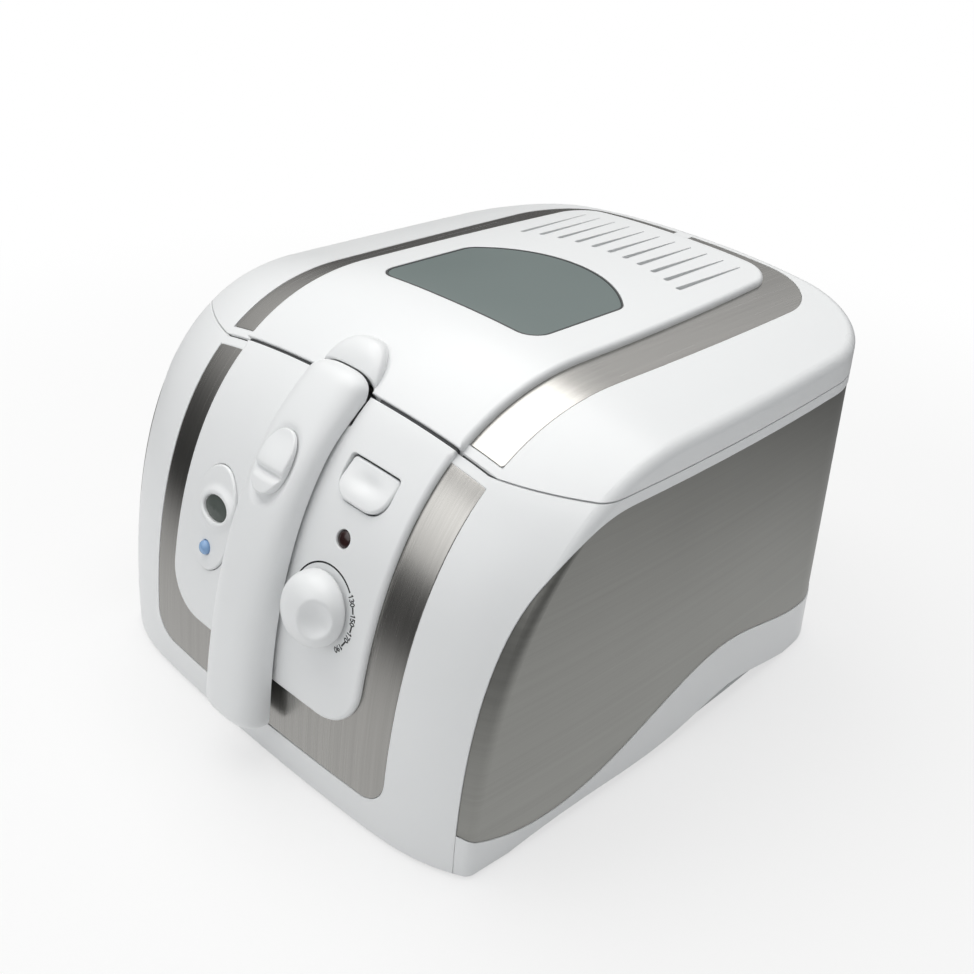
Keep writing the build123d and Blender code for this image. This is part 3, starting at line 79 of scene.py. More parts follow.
class Paint:
    # the node tree of one finish, or of the studio's air
    def __init__(self, name, owner=None):
        self.owner = owner or bpy.data.materials.new(name)
        self.owner.use_nodes = True
        self.tree = self.owner.node_tree
        self.tree.nodes.clear()

    def add(self, kind, settings=None, inputs=None, output=0):
        node = self.tree.nodes.new(kind)
        for key, value in (settings or {}).items():
            if key == "stops":
                ramp = node.color_ramp
                ramp.elements[0].position, ramp.elements[0].color = value[0]
                ramp.elements[1].position, ramp.elements[1].color = value[-1]
                for place, colour in value[1:-1]:
                    ramp.elements.new(place).color = colour
            else:
                setattr(node, key, value)
        for key, value in (inputs or {}).items():
            if isinstance(value, Wire):
                self.tree.links.new(value.socket, node.inputs[key])
            else:
                node.inputs[key].default_value = value
        return Wire(self, node.outputs[output]) if node.outputs else None

    def spot(self, stretch=(1.0, 1.0, 1.0)):
        # place on the piece, stretched so that a noise runs into streaks
        where = self.add("ShaderNodeTexCoord", output=3)
        return self.add("ShaderNodeVectorMath", {"operation": "MULTIPLY"}, {0: where, 1: stretch})

    def noise(self, scale, detail=2.0, rough=0.5, stretch=(1.0, 1.0, 1.0)):
        inputs = {"Vector": self.spot(stretch), "Scale": scale, "Detail": detail, "Roughness": rough}
        return self.add("ShaderNodeTexNoise", {}, inputs)

    def steps(self, factor, stops):
        # black to white over the given places of a value
        ramp = [(place, (level, level, level, 1.0)) for place, level in stops]
        return self.add("ShaderNodeValToRGB", {"stops": ramp}, {0: factor})

    def tint(self, factor, first, second):
        colours = [c if isinstance(c, Wire) else (*c, 1.0) for c in (first, second)]
        inputs = {0: factor, 6: colours[0], 7: colours[1]}
        return self.add("ShaderNodeMix", {"data_type": "RGBA"}, inputs, output=2)

    def bump(self, height, depth, softEdge=0.0):
        inputs = {"Strength": 1.0, "Distance": depth, "Height": height}
        if softEdge:
            inputs["Normal"] = self.add("ShaderNodeBevel", {"samples": 4}, {"Radius": softEdge})
        return self.add("ShaderNodeBump", {}, inputs)

    def surface(self, **inputs):
        named = {key.replace("_", " "): value for key, value in inputs.items()}
        shader = self.add("ShaderNodeBsdfPrincipled", {}, named)
        self.add("ShaderNodeOutputMaterial", {}, {"Surface": shader})
        return self.owner


# Finishes

plastic = {"ior": 1.46, "coatGloss": 0.06}  # the same for every moulded finish
streaks = {"fine": 0.55, "broad": 0.45}  # shares of the two grades of brushing


def moulded(name, look):
    # moulded plastic or rubber: a faint cloudiness and the skin of the mould
    paint = Paint(name)
    cloud = paint.noise(look["cloud"], 3.0)
    skin = paint.noise(look["skin"], 2.0, 0.6)
    return paint.surface(
        Base_Color=paint.tint(cloud, look["shade"], look["pale"]),
        Roughness=look["gloss"] + look["glossSpread"] * cloud,
        Normal=paint.bump(skin, look["skinDepth"] * mm, look.get("softEdge", 0.0) * mm),
        IOR=plastic["ior"],
        Coat_Weight=look.get("coat", 0.0),
        Coat_Roughness=plastic["coatGloss"])


def brushed(name, look):
    # metal drawn under a belt: fine and broad streaks along one run, with handling smudges
    paint = Paint(name)
    fine = paint.noise(look["fine"], 3.0, 0.7, look["run"])
    broad = paint.noise(look["broad"], 2.0, 0.5, look["run"])
    smudge = paint.noise(look["smudge"], 3.0, 0.55)
    streak = streaks["fine"] * fine + streaks["broad"] * broad
    return paint.surface(
        Base_Color=paint.tint(streak, look["dark"], look["pale"]),
        Metallic=1.0,
        Roughness=look["gloss"] + look["streakGloss"] * streak + look["smudgeGloss"] * smudge,
        Normal=paint.bump(fine, look["depth"] * mm, look.get("softEdge", 0.0) * mm))


def speckled(look):
    # non-stick coating: dark satin with paler flecks
    paint = Paint("pot coating")
    grain = paint.noise(look["grain"], 3.0)
    fleck = paint.steps(paint.noise(look["fleck"], 2.0), [(look["fleckFrom"], 0.0), (look["fleckTo"], 1.0)])
    ground = paint.tint(grain, look["dark"], look["pale"])
    return paint.surface(
        Base_Color=paint.tint(fleck, ground, look["fleckColour"]),
        Roughness=look["gloss"] + look["glossSpread"] * grain,
        Normal=paint.bump(grain, look["depth"] * mm, look["softEdge"] * mm))


def felted(look):
    # pressed fibre: crossed short hairs
    paint = Paint("filter felt")
    warp = paint.noise(look["hair"], 3.0, 0.7, (1.0, look["hairRun"], 1.0))
    weft = paint.noise(look["hair"], 3.0, 0.7, (look["hairRun"], 1.0, 1.0))
    hair = 0.5 * warp + 0.5 * weft
    return paint.surface(
        Base_Color=paint.tint(hair, look["dark"], look["pale"]),
        Roughness=look["gloss"] + look["glossSpread"] * hair,
        Normal=paint.bump(hair, look["depth"] * mm))


finishOf = {
    "white_plastic": moulded("white plastic", {
        "shade": (0.80, 0.81, 0.815), "pale": (0.825, 0.835, 0.838), "cloud": 11.0, "skin": 1100.0,
        "skinDepth": 0.01, "gloss": 0.26, "glossSpread": 0.05, "softEdge": 0.5}),
    "pale_plastic": moulded("pale plastic", {
        "shade": (0.44, 0.45, 0.455), "pale": (0.5, 0.51, 0.515), "cloud": 26.0, "skin": 700.0,
        "skinDepth": 0.04, "gloss": 0.42, "glossSpread": 0.14, "softEdge": 0.4}),
    "gear_plastic": moulded("gear plastic", {
        "shade": (0.55, 0.54, 0.48), "pale": (0.63, 0.62, 0.56), "cloud": 60.0, "skin": 900.0,
        "skinDepth": 0.02, "gloss": 0.36, "glossSpread": 0.12, "softEdge": 0.15}),
    "dark_plastic": moulded("dark plastic", {
        "shade": (0.012, 0.012, 0.013), "pale": (0.024, 0.024, 0.026), "cloud": 90.0, "skin": 900.0,
        "skinDepth": 0.03, "gloss": 0.38, "glossSpread": 0.16, "softEdge": 0.2}),
    "switch_body": moulded("switch plastic", {
        "shade": (0.12, 0.075, 0.045), "pale": (0.19, 0.13, 0.085), "cloud": 140.0, "skin": 800.0,
        "skinDepth": 0.03, "gloss": 0.4, "glossSpread": 0.15, "softEdge": 0.3}),
    "foot_rubber": moulded("foot rubber", {
        "shade": (0.012, 0.012, 0.012), "pale": (0.03, 0.03, 0.03), "cloud": 120.0, "skin": 1500.0,
        "skinDepth": 0.05, "gloss": 0.68, "glossSpread": 0.16, "softEdge": 0.3}),
    "seal_rubber": moulded("seal rubber", {
        "shade": (0.04, 0.042, 0.043), "pale": (0.07, 0.072, 0.074), "cloud": 110.0, "skin": 1300.0,
        "skinDepth": 0.04, "gloss": 0.55, "glossSpread": 0.18, "softEdge": 0.2}),
    "button_blue": moulded("blue button", {
        "shade": (0.20, 0.36, 0.62), "pale": (0.30, 0.46, 0.70), "cloud": 260.0, "skin": 900.0,
        "skinDepth": 0.006, "gloss": 0.16, "glossSpread": 0.1, "coat": 0.3}),
    "pilot_red": moulded("pilot red", {
        "shade": (0.014, 0.006, 0.006), "pale": (0.035, 0.012, 0.011), "cloud": 320.0, "skin": 1100.0,
        "skinDepth": 0.006, "gloss": 0.12, "glossSpread": 0.1, "coat": 0.4}),
    "display_window": moulded("display window", {
        "shade": (0.075, 0.088, 0.08), "pale": (0.11, 0.125, 0.115), "cloud": 130.0, "skin": 700.0,
        "skinDepth": 0.003, "gloss": 0.1, "glossSpread": 0.08, "coat": 0.25}),
    "window_glass": moulded("smoked glass", {
        "shade": (0.122, 0.155, 0.150), "pale": (0.142, 0.175, 0.169), "cloud": 14.0, "skin": 500.0,
        "skinDepth": 0.004, "gloss": 0.3, "glossSpread": 0.1, "softEdge": 0.3}),
    "brushed_trim": brushed("brushed trim", {
        "dark": (0.30, 0.295, 0.28), "pale": (0.50, 0.49, 0.47), "run": (1.0, 0.006, 0.006),
        "fine": 2600.0, "broad": 420.0, "smudge": 18.0, "gloss": 0.18, "streakGloss": 0.1,
        "smudgeGloss": 0.06, "depth": 0.006}),
    "brushed_wrapper": brushed("brushed wrapper", {
        "dark": (0.27, 0.27, 0.255), "pale": (0.40, 0.40, 0.38), "run": (0.005, 0.005, 1.0),
        "fine": 2400.0, "broad": 300.0, "smudge": 9.0, "gloss": 0.36, "streakGloss": 0.1,
        "smudgeGloss": 0.1, "depth": 0.005}),
    "lid_aluminium": brushed("lid aluminium", {
        "dark": (0.52, 0.525, 0.53), "pale": (0.66, 0.665, 0.67), "run": (0.02, 1.0, 0.02),
        "fine": 1400.0, "broad": 160.0, "smudge": 14.0, "gloss": 0.34, "streakGloss": 0.1,
        "smudgeGloss": 0.12, "depth": 0.004}),
    "plated_steel": brushed("plated steel", {
        "dark": (0.40, 0.40, 0.39), "pale": (0.58, 0.575, 0.55), "run": (1.0, 1.0, 0.12), "fine": 700.0,
        "broad": 90.0, "smudge": 60.0, "gloss": 0.3, "streakGloss": 0.1, "smudgeGloss": 0.16,
        "depth": 0.006, "softEdge": 0.25}),
    "bright_steel": brushed("bright steel", {
        "dark": (0.56, 0.56, 0.57), "pale": (0.70, 0.70, 0.71), "run": (0.1, 1.0, 1.0), "fine": 1500.0,
        "broad": 300.0, "smudge": 90.0, "gloss": 0.14, "streakGloss": 0.08, "smudgeGloss": 0.1,
        "depth": 0.002, "softEdge": 0.15}),
    "basket_wire": brushed("basket wire", {
        "dark": (0.56, 0.56, 0.55), "pale": (0.72, 0.72, 0.71), "run": (1.0, 1.0, 0.3), "fine": 900.0,
        "broad": 140.0, "smudge": 40.0, "gloss": 0.12, "streakGloss": 0.07, "smudgeGloss": 0.12,
        "depth": 0.003}),
    "element_sheath": brushed("element sheath", {
        "dark": (0.045, 0.038, 0.034), "pale": (0.12, 0.098, 0.085), "run": (1.0, 1.0, 1.0),
        "fine": 500.0, "broad": 45.0, "smudge": 60.0, "gloss": 0.42, "streakGloss": 0.12,
        "smudgeGloss": 0.16, "depth": 0.012}),
    "pot_coating": speckled({
        "dark": (0.016, 0.016, 0.018), "pale": (0.034, 0.034, 0.037), "grain": 260.0, "fleck": 620.0,
        "fleckFrom": 0.66, "fleckTo": 0.7, "fleckColour": (0.16, 0.16, 0.165), "gloss": 0.3,
        "glossSpread": 0.16, "depth": 0.02, "softEdge": 0.4}),
    "filter_felt": felted({
        "dark": (0.012, 0.012, 0.012), "pale": (0.05, 0.05, 0.05), "hair": 900.0, "hairRun": 0.15,
        "gloss": 0.85, "glossSpread": 0.12, "depth": 0.25})}
slotOf = {part["node"]: part["material_slot"] for part in frame["record"]["subparts"]}
for name, node in nodes.items():
    node.data.materials.clear()
    node.data.materials.append(finishOf[slotOf[name]])
print("finishes on the solid nodes:", len(finishOf))


# Mesh tools, all in millimetres

scene = bpy.context.scene


def linked(name, data):
    holder = bpy.data.objects.new(name, data)
    scene.collection.objects.link(holder)
    return holder


def meshOf(name, points, faces):
    mesh = bpy.data.meshes.new(name)
    mesh.from_pydata([tuple(point) for point in np.asarray(points, float) * mm], [], faces)
    return mesh


def addPiece(name, slot, ridesOn, shape, replaced=(), sharp=38.0):
    # shape is points, faces and, from a plate, the normals of the faces' corners
    mesh = meshOf(name, *shape[:2])
    mesh.polygons.foreach_set("use_smooth", [True] * len(mesh.polygons))
    mesh.materials.append(finishOf[slot])
    if len(shape) == 2:
        mesh.set_sharp_from_angle(angle=radians(sharp))
    else:
        mesh.normals_split_custom_set([tuple(normal) for normal in shape[2]])
    piece = linked(name, mesh)
    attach(piece, ridesOn)
    if replaced:
        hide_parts(*replaced)


def unit(rows):
    return rows / np.linalg.norm(rows, axis=1, keepdims=True)


def columns(*values):
    return np.stack(np.broadcast_arrays(*values), axis=-1).astype(float)


# The curved front and top: one bent profile at each x, run by its length along the middle

form = {"frontY": -147.5, "crownY": -17.5, "crownZ": 201.5, "drop": 16.0, "power": 2.3, "bow": 3.8,
        "fullness": 0.664, "seamHalf": 139.5, "frontSeamY": -90.196, "lidFrontY": -88.996,
        "cornerStart": 75.0, "cornerSweep": 14.0}
profileT = np.linspace(0.0, 1.0, 1201)


def profileShares(t):
    # how far the profile has climbed, and how far it still is from the crown
    w = [(1 - t) ** 3, 3 * t * (1 - t) ** 2, 3 * t * t * (1 - t), t ** 3]
    return w[1] * form["fullness"] + w[2] + w[3], w[0] + w[1] + w[2] * form["fullness"]


def frontAt(x):
    past = np.maximum(np.abs(x) - form["cornerStart"], 0.0) / (form["seamHalf"] - form["cornerStart"])
    return form["frontY"] + form["bow"] * (x / 100.0) ** 2 + form["cornerSweep"] * past ** 3


def heightAt(x):
    return form["crownZ"] - form["drop"] * (np.abs(x) / form["seamHalf"]) ** form["power"]


climbed, remaining = profileShares(profileT)
middleY = form["crownY"] - (form["crownY"] - form["frontY"]) * remaining
middleZ = form["crownZ"] * climbed
profileRun = np.concatenate([[0.0], np.cumsum(np.hypot(np.diff(middleY), np.diff(middleZ)))])
crownRun = profileRun[-1]


def runAtHeight(x, z):
    return np.interp(np.interp(z / heightAt(x), climbed, profileT), profileT, profileRun)


def runAtDepth(x, y):
    left = np.maximum((form["crownY"] - y) / (form["crownY"] - frontAt(x)), 0.0)
    flat = np.maximum(y - form["crownY"], 0.0)
    return np.interp(np.interp(-left, -remaining, profileT), profileT, profileRun) + flat


def bareSkin(x, run):
    t = np.interp(run, profileRun, profileT)
    up, away = profileShares(t)
    y = form["crownY"] - (form["crownY"] - frontAt(x)) * away + np.maximum(run - crownRun, 0.0)
    return columns(x, y, heightAt(x) * up)


def slopes(place, u, v, step=0.05):
    across = (place(u + step, v) - place(u - step, v)) / (2 * step)
    along = (place(u, v + step) - place(u, v - step)) / (2 * step)
    return across, along


def onSkin(x, run, rise):
    across, along = slopes(bareSkin, x, run)
    return bareSkin(x, run) + unit(np.cross(across, along)) * np.asarray(rise, float).reshape(-1, 1)


def seat(x, z):
    # flat stand on the front at (x, z): across, up the front, outward
    run = runAtHeight(x, z)
    spot = bareSkin(np.array([x]), np.array([run]))[0]
    across, along = slopes(bareSkin, np.array([x]), np.array([run]))
    upward = along[0] / np.linalg.norm(along[0])
    outward = np.array([0.0, -upward[2], upward[1]])

    def place(u, v, rise):
        return spot + columns(u, u * 0.0, u * 0.0) + np.outer(v, upward) + np.outer(rise, outward)
    return place


def signedArea(loop):
    x, y = loop[:, 0], loop[:, 1]
    return 0.5 * np.sum(x * np.roll(y, -1) - np.roll(x, -1) * y)


def spread(loop, step):
    # the same outline with no run between points longer than the step
    loop = np.asarray(loop, float)
    filled = []
    for start, end in zip(loop, np.roll(loop, -1, axis=0)):
        parts = max(1, int(np.ceil(np.linalg.norm(end - start) / step)))
        filled += [start + (end - start) * k / parts for k in range(parts)]
    return np.array(filled)


def arcThrough(start, middle, end, count):
    a, b, c = (complex(*p) for p in (start, middle, end))
    w = (c - a) / (b - a)
    centre = a - (a - b) * (w - abs(w) ** 2) / (2j * w.imag)
    first = np.angle(a - centre)
    span = (np.angle(c - centre) - first) % (2 * pi)
    if (np.angle(b - centre) - first) % (2 * pi) > span:
        span -= 2 * pi
    turn = first + span * np.linspace(0, 1, count)
    ring = centre + abs(a - centre) * np.exp(1j * turn)
    return [(p.real, p.imag) for p in ring]


def rounded(corners, segments=10):
    # outline through (x, y, radius) corners; points closer to a round corner than its tangent are dropped
    points = np.array([c[:2] for c in corners], float)
    radii = [c[2] for c in corners]
    count, drop, arcs = len(points), set(), {}
    for k in range(count):
        if radii[k] <= 0:
            continue
        back, ahead = k - 1, (k + 1) % count
        before, after = unit(np.array([points[back] - points[k], points[ahead] - points[k]]))
        angle = np.arccos(np.clip(before @ after, -1, 1))
        reach = radii[k] / np.tan(angle / 2)
        for other in range(count):
            if other != k and radii[other] <= 0 and np.linalg.norm(points[other] - points[k]) < reach:
                drop.add(other)
        bisector = unit((before + after)[None])[0]
        centre = points[k] + bisector * radii[k] / np.sin(angle / 2)
        first, last = points[k] + before * reach - centre, points[k] + after * reach - centre
        turn = np.arctan2(first[0] * last[1] - first[1] * last[0], first @ last)
        steps = turn * np.arange(segments + 1) / segments
        aside = np.array([-first[1], first[0]])
        arcs[k] = [centre + (first * cos(s) + aside * sin(s)) for s in steps]
    outline = []
    for k in range(count):
        if k in arcs:
            outline += arcs[k]
        elif k not in drop:
            outline.append(points[k])
    return np.array(outline)


def ellipse(halfU, halfV, u=0.0, v=0.0, count=64):
    turn = np.linspace(0, 2 * pi, count, endpoint=False)
    return np.stack([u + halfU * np.cos(turn), v + halfV * np.sin(turn)], axis=1)


def outwardOf(loop):
    ahead = unit(np.roll(loop, -1, axis=0) - loop)
    behind = np.roll(ahead, 1, axis=0)
    sides = np.stack([ahead[:, 1] + behind[:, 1], -ahead[:, 0] - behind[:, 0]], axis=1)
    size = np.maximum(np.linalg.norm(sides, axis=1, keepdims=True), 0.9)
    return sides / size * (2.0 / size)


def insideOf(points, loop):
    x, y = points[:, 0][:, None], points[:, 1][:, None]
    ax, ay = loop[:, 0], loop[:, 1]
    bx, by = np.roll(ax, -1), np.roll(ay, -1)
    crosses = ((ay > y) != (by > y)) & (x < (bx - ax) * (y - ay) / np.where(by == ay, 1e-9, by - ay) + ax)
    return crosses.sum(axis=1) % 2 == 1


def between(points, loops):
    # inside the first outline and outside the others
    keep = insideOf(points, loops[0])
    for loop in loops[1:]:
        keep &= ~insideOf(points, loop)
    return keep


# longest runs on outlines in millimetres; the grid's rows and the room at its outlines in shares of its step
mesher = {"outline": 4.0, "fineOutline": 3.0, "rowStep": 0.87, "clear": 0.55}


def fill(loops, step):
    # triangles between the outlines, with a staggered grid inside when a step is given
    points = np.concatenate(loops)
    edges, first = [], 0
    for loop in loops:
        edges += [(first + k, first + (k + 1) % len(loop)) for k in range(len(loop))]
        first += len(loop)
    if step:
        low, high = loops[0].min(axis=0), loops[0].max(axis=0)
        rows = np.arange(low[1], high[1], step * mesher["rowStep"])
        grid = np.array([(x + (k % 2) * step / 2, y) for k, y in enumerate(rows)
                         for x in np.arange(low[0], high[0], step)])
        grid = grid[between(grid, loops)]
        if len(grid):
            nearest = np.array([np.min(np.hypot(*(points - spot).T)) for spot in grid])
            points = np.concatenate([points, grid[nearest > mesher["clear"] * step]])
    result = delaunay_2d_cdt([Vector(p) for p in points], edges, [], 0, 1e-6)
    origin = [ids[0] for ids in result[3]]
    triangles = np.array([[origin[k] for k in face] for face in result[2]])
    keep = between(points[triangles].mean(axis=1), loops)
    return points, [tuple(int(k) for k in face) for face in triangles[keep]]


def band(a, b, count):
    # quads between two closed rings whose first points are a and b
    return [(a + j, a + (j + 1) % count, b + (j + 1) % count, b + j) for j in range(count)]


def plate(place, outer, holes=(), low=0.0, lift=1.0, edge=1.0, step=5.0, bends=4):
    # a sheet standing on a surface: walls, rounded top edges and a filled top; edge may differ along a loop
    lifted = lift if callable(lift) else (lambda u, v: np.full(len(u), float(lift)))
    loops = [np.asarray(outer, float)] + [np.asarray(hole, float) for hole in holes]
    loops = [loop if (signedArea(loop) > 0) == (k == 0) else loop[::-1] for k, loop in enumerate(loops)]
    points, normals, faces, corners = [], [], [], []
    top, bottom, topIds, bottomIds = [], [], [], []

    def topNormal(u, v):
        return unit(np.cross(*slopes(lambda a, b: place(a, b, lifted(a, b)), u, v)))

    for loop in loops:
        out = outwardOf(loop)
        radius = edge(loop) if callable(edge) else np.full(len(loop), float(edge))
        bendAngles = np.linspace(0, pi / 2, bends + 1)
        rings = [(None, None)] + [(1 - cos(a), 1 - sin(a)) for a in bendAngles]
        start = len(points)
        for k, (draw, dip) in enumerate(rings):
            ring = loop if k == 0 else loop - out * (radius * draw)[:, None]
            u, v = ring[:, 0], ring[:, 1]
            high = lifted(u, v)
            height = np.full(len(loop), float(low)) if k == 0 else high - radius * dip
            across, along = slopes(lambda a, b: place(a, b, height), u, v)
            side = unit(across * out[:, :1] + along * out[:, 1:])
            angle = 0.0 if k == 0 else bendAngles[k - 1]
            points += list(place(u, v, height))
            normals += list(unit(side * cos(angle) + topNormal(u, v) * sin(angle)))
        count = len(loop)
        for k in range(len(rings) - 1):
            for face in band(start + k * count, start + (k + 1) * count, count):
                faces.append(face)
                corners += [normals[i] for i in face]
        bottom.append(loop)
        bottomIds += list(range(start, start + count))
        top.append(loop - out * radius[:, None])
        topIds += list(range(start + (len(rings) - 1) * count, start + len(rings) * count))
    capPoints, capFaces = fill(top, step)
    extra = capPoints[len(topIds):]
    first = len(points)
    if len(extra):
        points += list(place(extra[:, 0], extra[:, 1], lifted(extra[:, 0], extra[:, 1])))
        normals += list(topNormal(extra[:, 0], extra[:, 1]))
    topIds += list(range(first, first + len(extra)))
    for face in capFaces:
        ids = tuple(topIds[k] for k in face)
        faces.append(ids)
        corners += [normals[i] for i in ids]
    for face in fill(bottom, 0)[1]:
        ids = tuple(bottomIds[k] for k in reversed(face))
        first, second, third = (points[k] for k in ids)
        under = np.cross(second - first, third - first)
        faces.append(ids)
        corners += [under / max(np.linalg.norm(under), 1e-12)] * len(ids)
    return points, faces, corners


def loft(rings, endless=False):
    # rings of one count joined in order; endless joins the last to the first, or else fans close the ends
    rings = [np.asarray(ring, float) for ring in rings]
    count = len(rings[0])
    points = [p for ring in rings for p in ring]
    faces = []
    for k in range(len(rings) - 1):
        faces += band(k * count, (k + 1) * count, count)
    last = (len(rings) - 1) * count
    if endless:
        return points, faces + band(last, 0, count)
    points += [rings[0].mean(axis=0), rings[-1].mean(axis=0)]
    faces += [(len(points) - 2, (j + 1) % count, j) for j in range(count)]
    faces += [(len(points) - 1, last + j, last + (j + 1) % count) for j in range(count)]
    return points, faces


def dome(place, profile, count=72, dent=None):
    # turned form: (radius, rise) profile from the foot to the top, with an optional dent in its height
    turn = np.linspace(0, 2 * pi, count, endpoint=False)
    rings = []
    for radius, rise in profile:
        u, v = radius * np.cos(turn), radius * np.sin(turn)
        height = np.full(count, float(rise))
        rings.append(place(u, v, dent(u, v, height) if dent else height))
    return loft(rings)


def tube(path, radius, sides=10, closed=False):
    # round wire along points that are already close together
    path = np.asarray(path, float)
    turn = np.linspace(0, 2 * pi, sides, endpoint=False)
    ahead = np.roll(path, -1, axis=0) - np.roll(path, 1, axis=0)
    if not closed:
        ahead[0], ahead[-1] = path[1] - path[0], path[-1] - path[-2]
    ahead = unit(ahead)
    guide = np.array([0.0, 0.0, 1.0]) if abs(ahead[0][2]) < 0.9 else np.array([1.0, 0.0, 0.0])
    rings = []
    for spot, heading in zip(path, ahead):
        side = np.cross(heading, guide)
        side = side / np.linalg.norm(side)
        guide = np.cross(side, heading)
        rings.append(spot + radius * (np.outer(np.cos(turn), side) + np.outer(np.sin(turn), guide)))
    return loft([ring[::-1] for ring in rings], closed)


def gather(*parts):
    points, faces = [], []
    for part in parts:
        base = len(points)
        points += list(part[0])
        faces += [tuple(base + k for k in face) for face in part[1]]
    return points, faces


# Control panel and its brushed inlay

barrel = {"pivotY": -92.996, "y": -94.939, "z": 178.488, "radius": 11.0, "gap": 0.6, "half": 18.5,
          "sideGap": 0.25, "underGap": 0.2}
panel = {"topHalf": 74.0, "topZ": 221.5, "lowHalf": 71.5, "lowZ": 48.5, "corner": 24.0, "rise": 3.0,
         "edge": 2.4, "seamEdge": 0.7, "seamBand": 1.0, "holeEdge": 0.45, "holeSpan": 60.0,
         "notchBand": 0.4, "notchReach": 31.0, "slotHalf": 3.1, "slotDrop": 29.0, "sidesTo": 160.0,
         "seamZ": 176.0}
inlay = {"topHalf": 95.75, "topZ": 221.5, "lowHalf": 89.75, "lowZ": 19.25, "corner": 14.75, "topY": -93.7,
         "sunk": 0.15, "sheet": 0.85, "tuck": 5.0, "endRound": 1.8, "edge": 0.25}
dials = {"knob": (41.6, 100.3), "bush": 5.05, "timer": (-43.5, 105.5), "timerHalf": (17.5, 26.5),
         "timerGap": 0.3, "pilot": (42.8, 131.0), "pilotRadius": 4.1, "pilotGap": 0.1,
         "release": (43.4, 152.493), "releaseWidth": 30.0, "releaseLength": 19.0, "releaseRound": 9.3,
         "releaseTop": 2.2, "releaseGap": 0.7, "button": (-43.5, 90.8), "buttonRadius": 3.5}
pivotRun = float(runAtDepth(0.0, barrel["pivotY"]))
notchHalf = barrel["half"] + barrel["sideGap"]


def frontLoop(look, inset):
    # down the left side, across the foot and up the right side, as (x, run)
    slope = (look["topHalf"] - look["lowHalf"]) / (look["topZ"] - look["lowZ"])
    low, top = look["lowZ"] + inset, panel["sidesTo"]
    lowHalf = look["lowHalf"] - inset
    topHalf = look["lowHalf"] + slope * (top - look["lowZ"]) - inset
    corner = max(look["corner"] - inset, 1.0)
    corners = [(-topHalf, top, 0), (-lowHalf, low, corner), (lowHalf, low, corner), (topHalf, top, 0)]
    x, z = rounded(corners, 14).T
    seamHalf = look["lowHalf"] + slope * (panel["seamZ"] - look["lowZ"]) - inset
    return np.stack([x, runAtHeight(x, z)], axis=1), seamHalf


def topEdge(first, last, y, count=8):
    return [(x, float(runAtDepth(x, y))) for x in np.linspace(first, last, count)]


def spotOf(place):
    # (x, z) on the front as (x, run)
    return np.array([place[0], float(runAtHeight(*place))])


def local(place):
    # skin beside one spot of the front, as (across, up, rise)
    x, run = spotOf(place)
    return lambda u, v, rise: onSkin(x + u, run + v, rise)


def shifted(place, loop):
    return np.asarray(loop) + spotOf(place)


def releaseLoop(grow):
    half, rise = dials["releaseWidth"] / 2 + grow, dials["releaseLength"] / 2 + grow
    low, top = dials["releaseRound"] + grow, dials["releaseTop"]
    corners = [(-half, -rise, low), (half, -rise, low), (half, rise, top), (-half, rise, top)]
    return spread(rounded(corners, 12), 1.5)


def panelEdge(loop):
    x, run = loop.T
    if np.ptp(x) < panel["holeSpan"]:
        return np.full(len(loop), panel["holeEdge"])
    seam = run > runAtDepth(x, form["frontSeamY"]) - panel["seamBand"]
    notch = (np.abs(x) < notchHalf + panel["notchBand"]) & (run > pivotRun - panel["notchReach"])
    return np.where(seam | notch, panel["seamEdge"], panel["edge"])


notchRun = pivotRun - barrel["radius"] - barrel["gap"] - barrel["underGap"]
slotRun = pivotRun - panel["slotDrop"]
notchTop = [(notchHalf, notchRun), (panel["slotHalf"], notchRun), (panel["slotHalf"], slotRun)]
notchLoop = notchTop + [(-x, run) for x, run in reversed(notchTop)]
lower, seamHalf = frontLoop(panel, 0.0)
panelLoop = spread(list(lower) + topEdge(seamHalf, notchHalf, form["frontSeamY"]) + notchLoop
                   + topEdge(-notchHalf, -seamHalf, form["frontSeamY"]), mesher["outline"])
pilotHole = dials["pilotRadius"] + dials["pilotGap"]
timerHole = [half + dials["timerGap"] for half in dials["timerHalf"]]
panelHoles = [shifted(dials["knob"], ellipse(dials["bush"], dials["bush"], count=40)),
              shifted(dials["timer"], ellipse(*timerHole, count=80)),
              shifted(dials["pilot"], ellipse(pilotHole, pilotHole, count=40)),
              shifted(dials["release"], releaseLoop(dials["releaseGap"]))]
addPiece("control_panel_face", "white_plastic", "body",
         plate(onSkin, panelLoop, panelHoles, 0.0, panel["rise"], panelEdge), ["control_panel"])

outerLoop, outerHalf = frontLoop(inlay, 0.0)
innerLoop, innerHalf = frontLoop(panel, inlay["tuck"])
armEnds = [(x, float(runAtDepth(x, inlay["topY"])), inlay["endRound"]) for x in (outerHalf, innerHalf)]
inlayCorners = [(x, run, 0) for x, run in outerLoop] + armEnds + [(x, run, 0) for x, run in innerLoop[::-1]]
inlayCorners += [(-x, run, r) for x, run, r in reversed(armEnds)]
inlayLoop = spread(rounded(inlayCorners, 5), mesher["outline"])
addPiece("front_inlay_sheet", "brushed_trim", "body",
         plate(onSkin, inlayLoop, [], -inlay["sheet"], -inlay["sunk"], inlay["edge"]), ["front_inlay"])
print("front panel and inlay made")


# Lid panel, its strips and its window

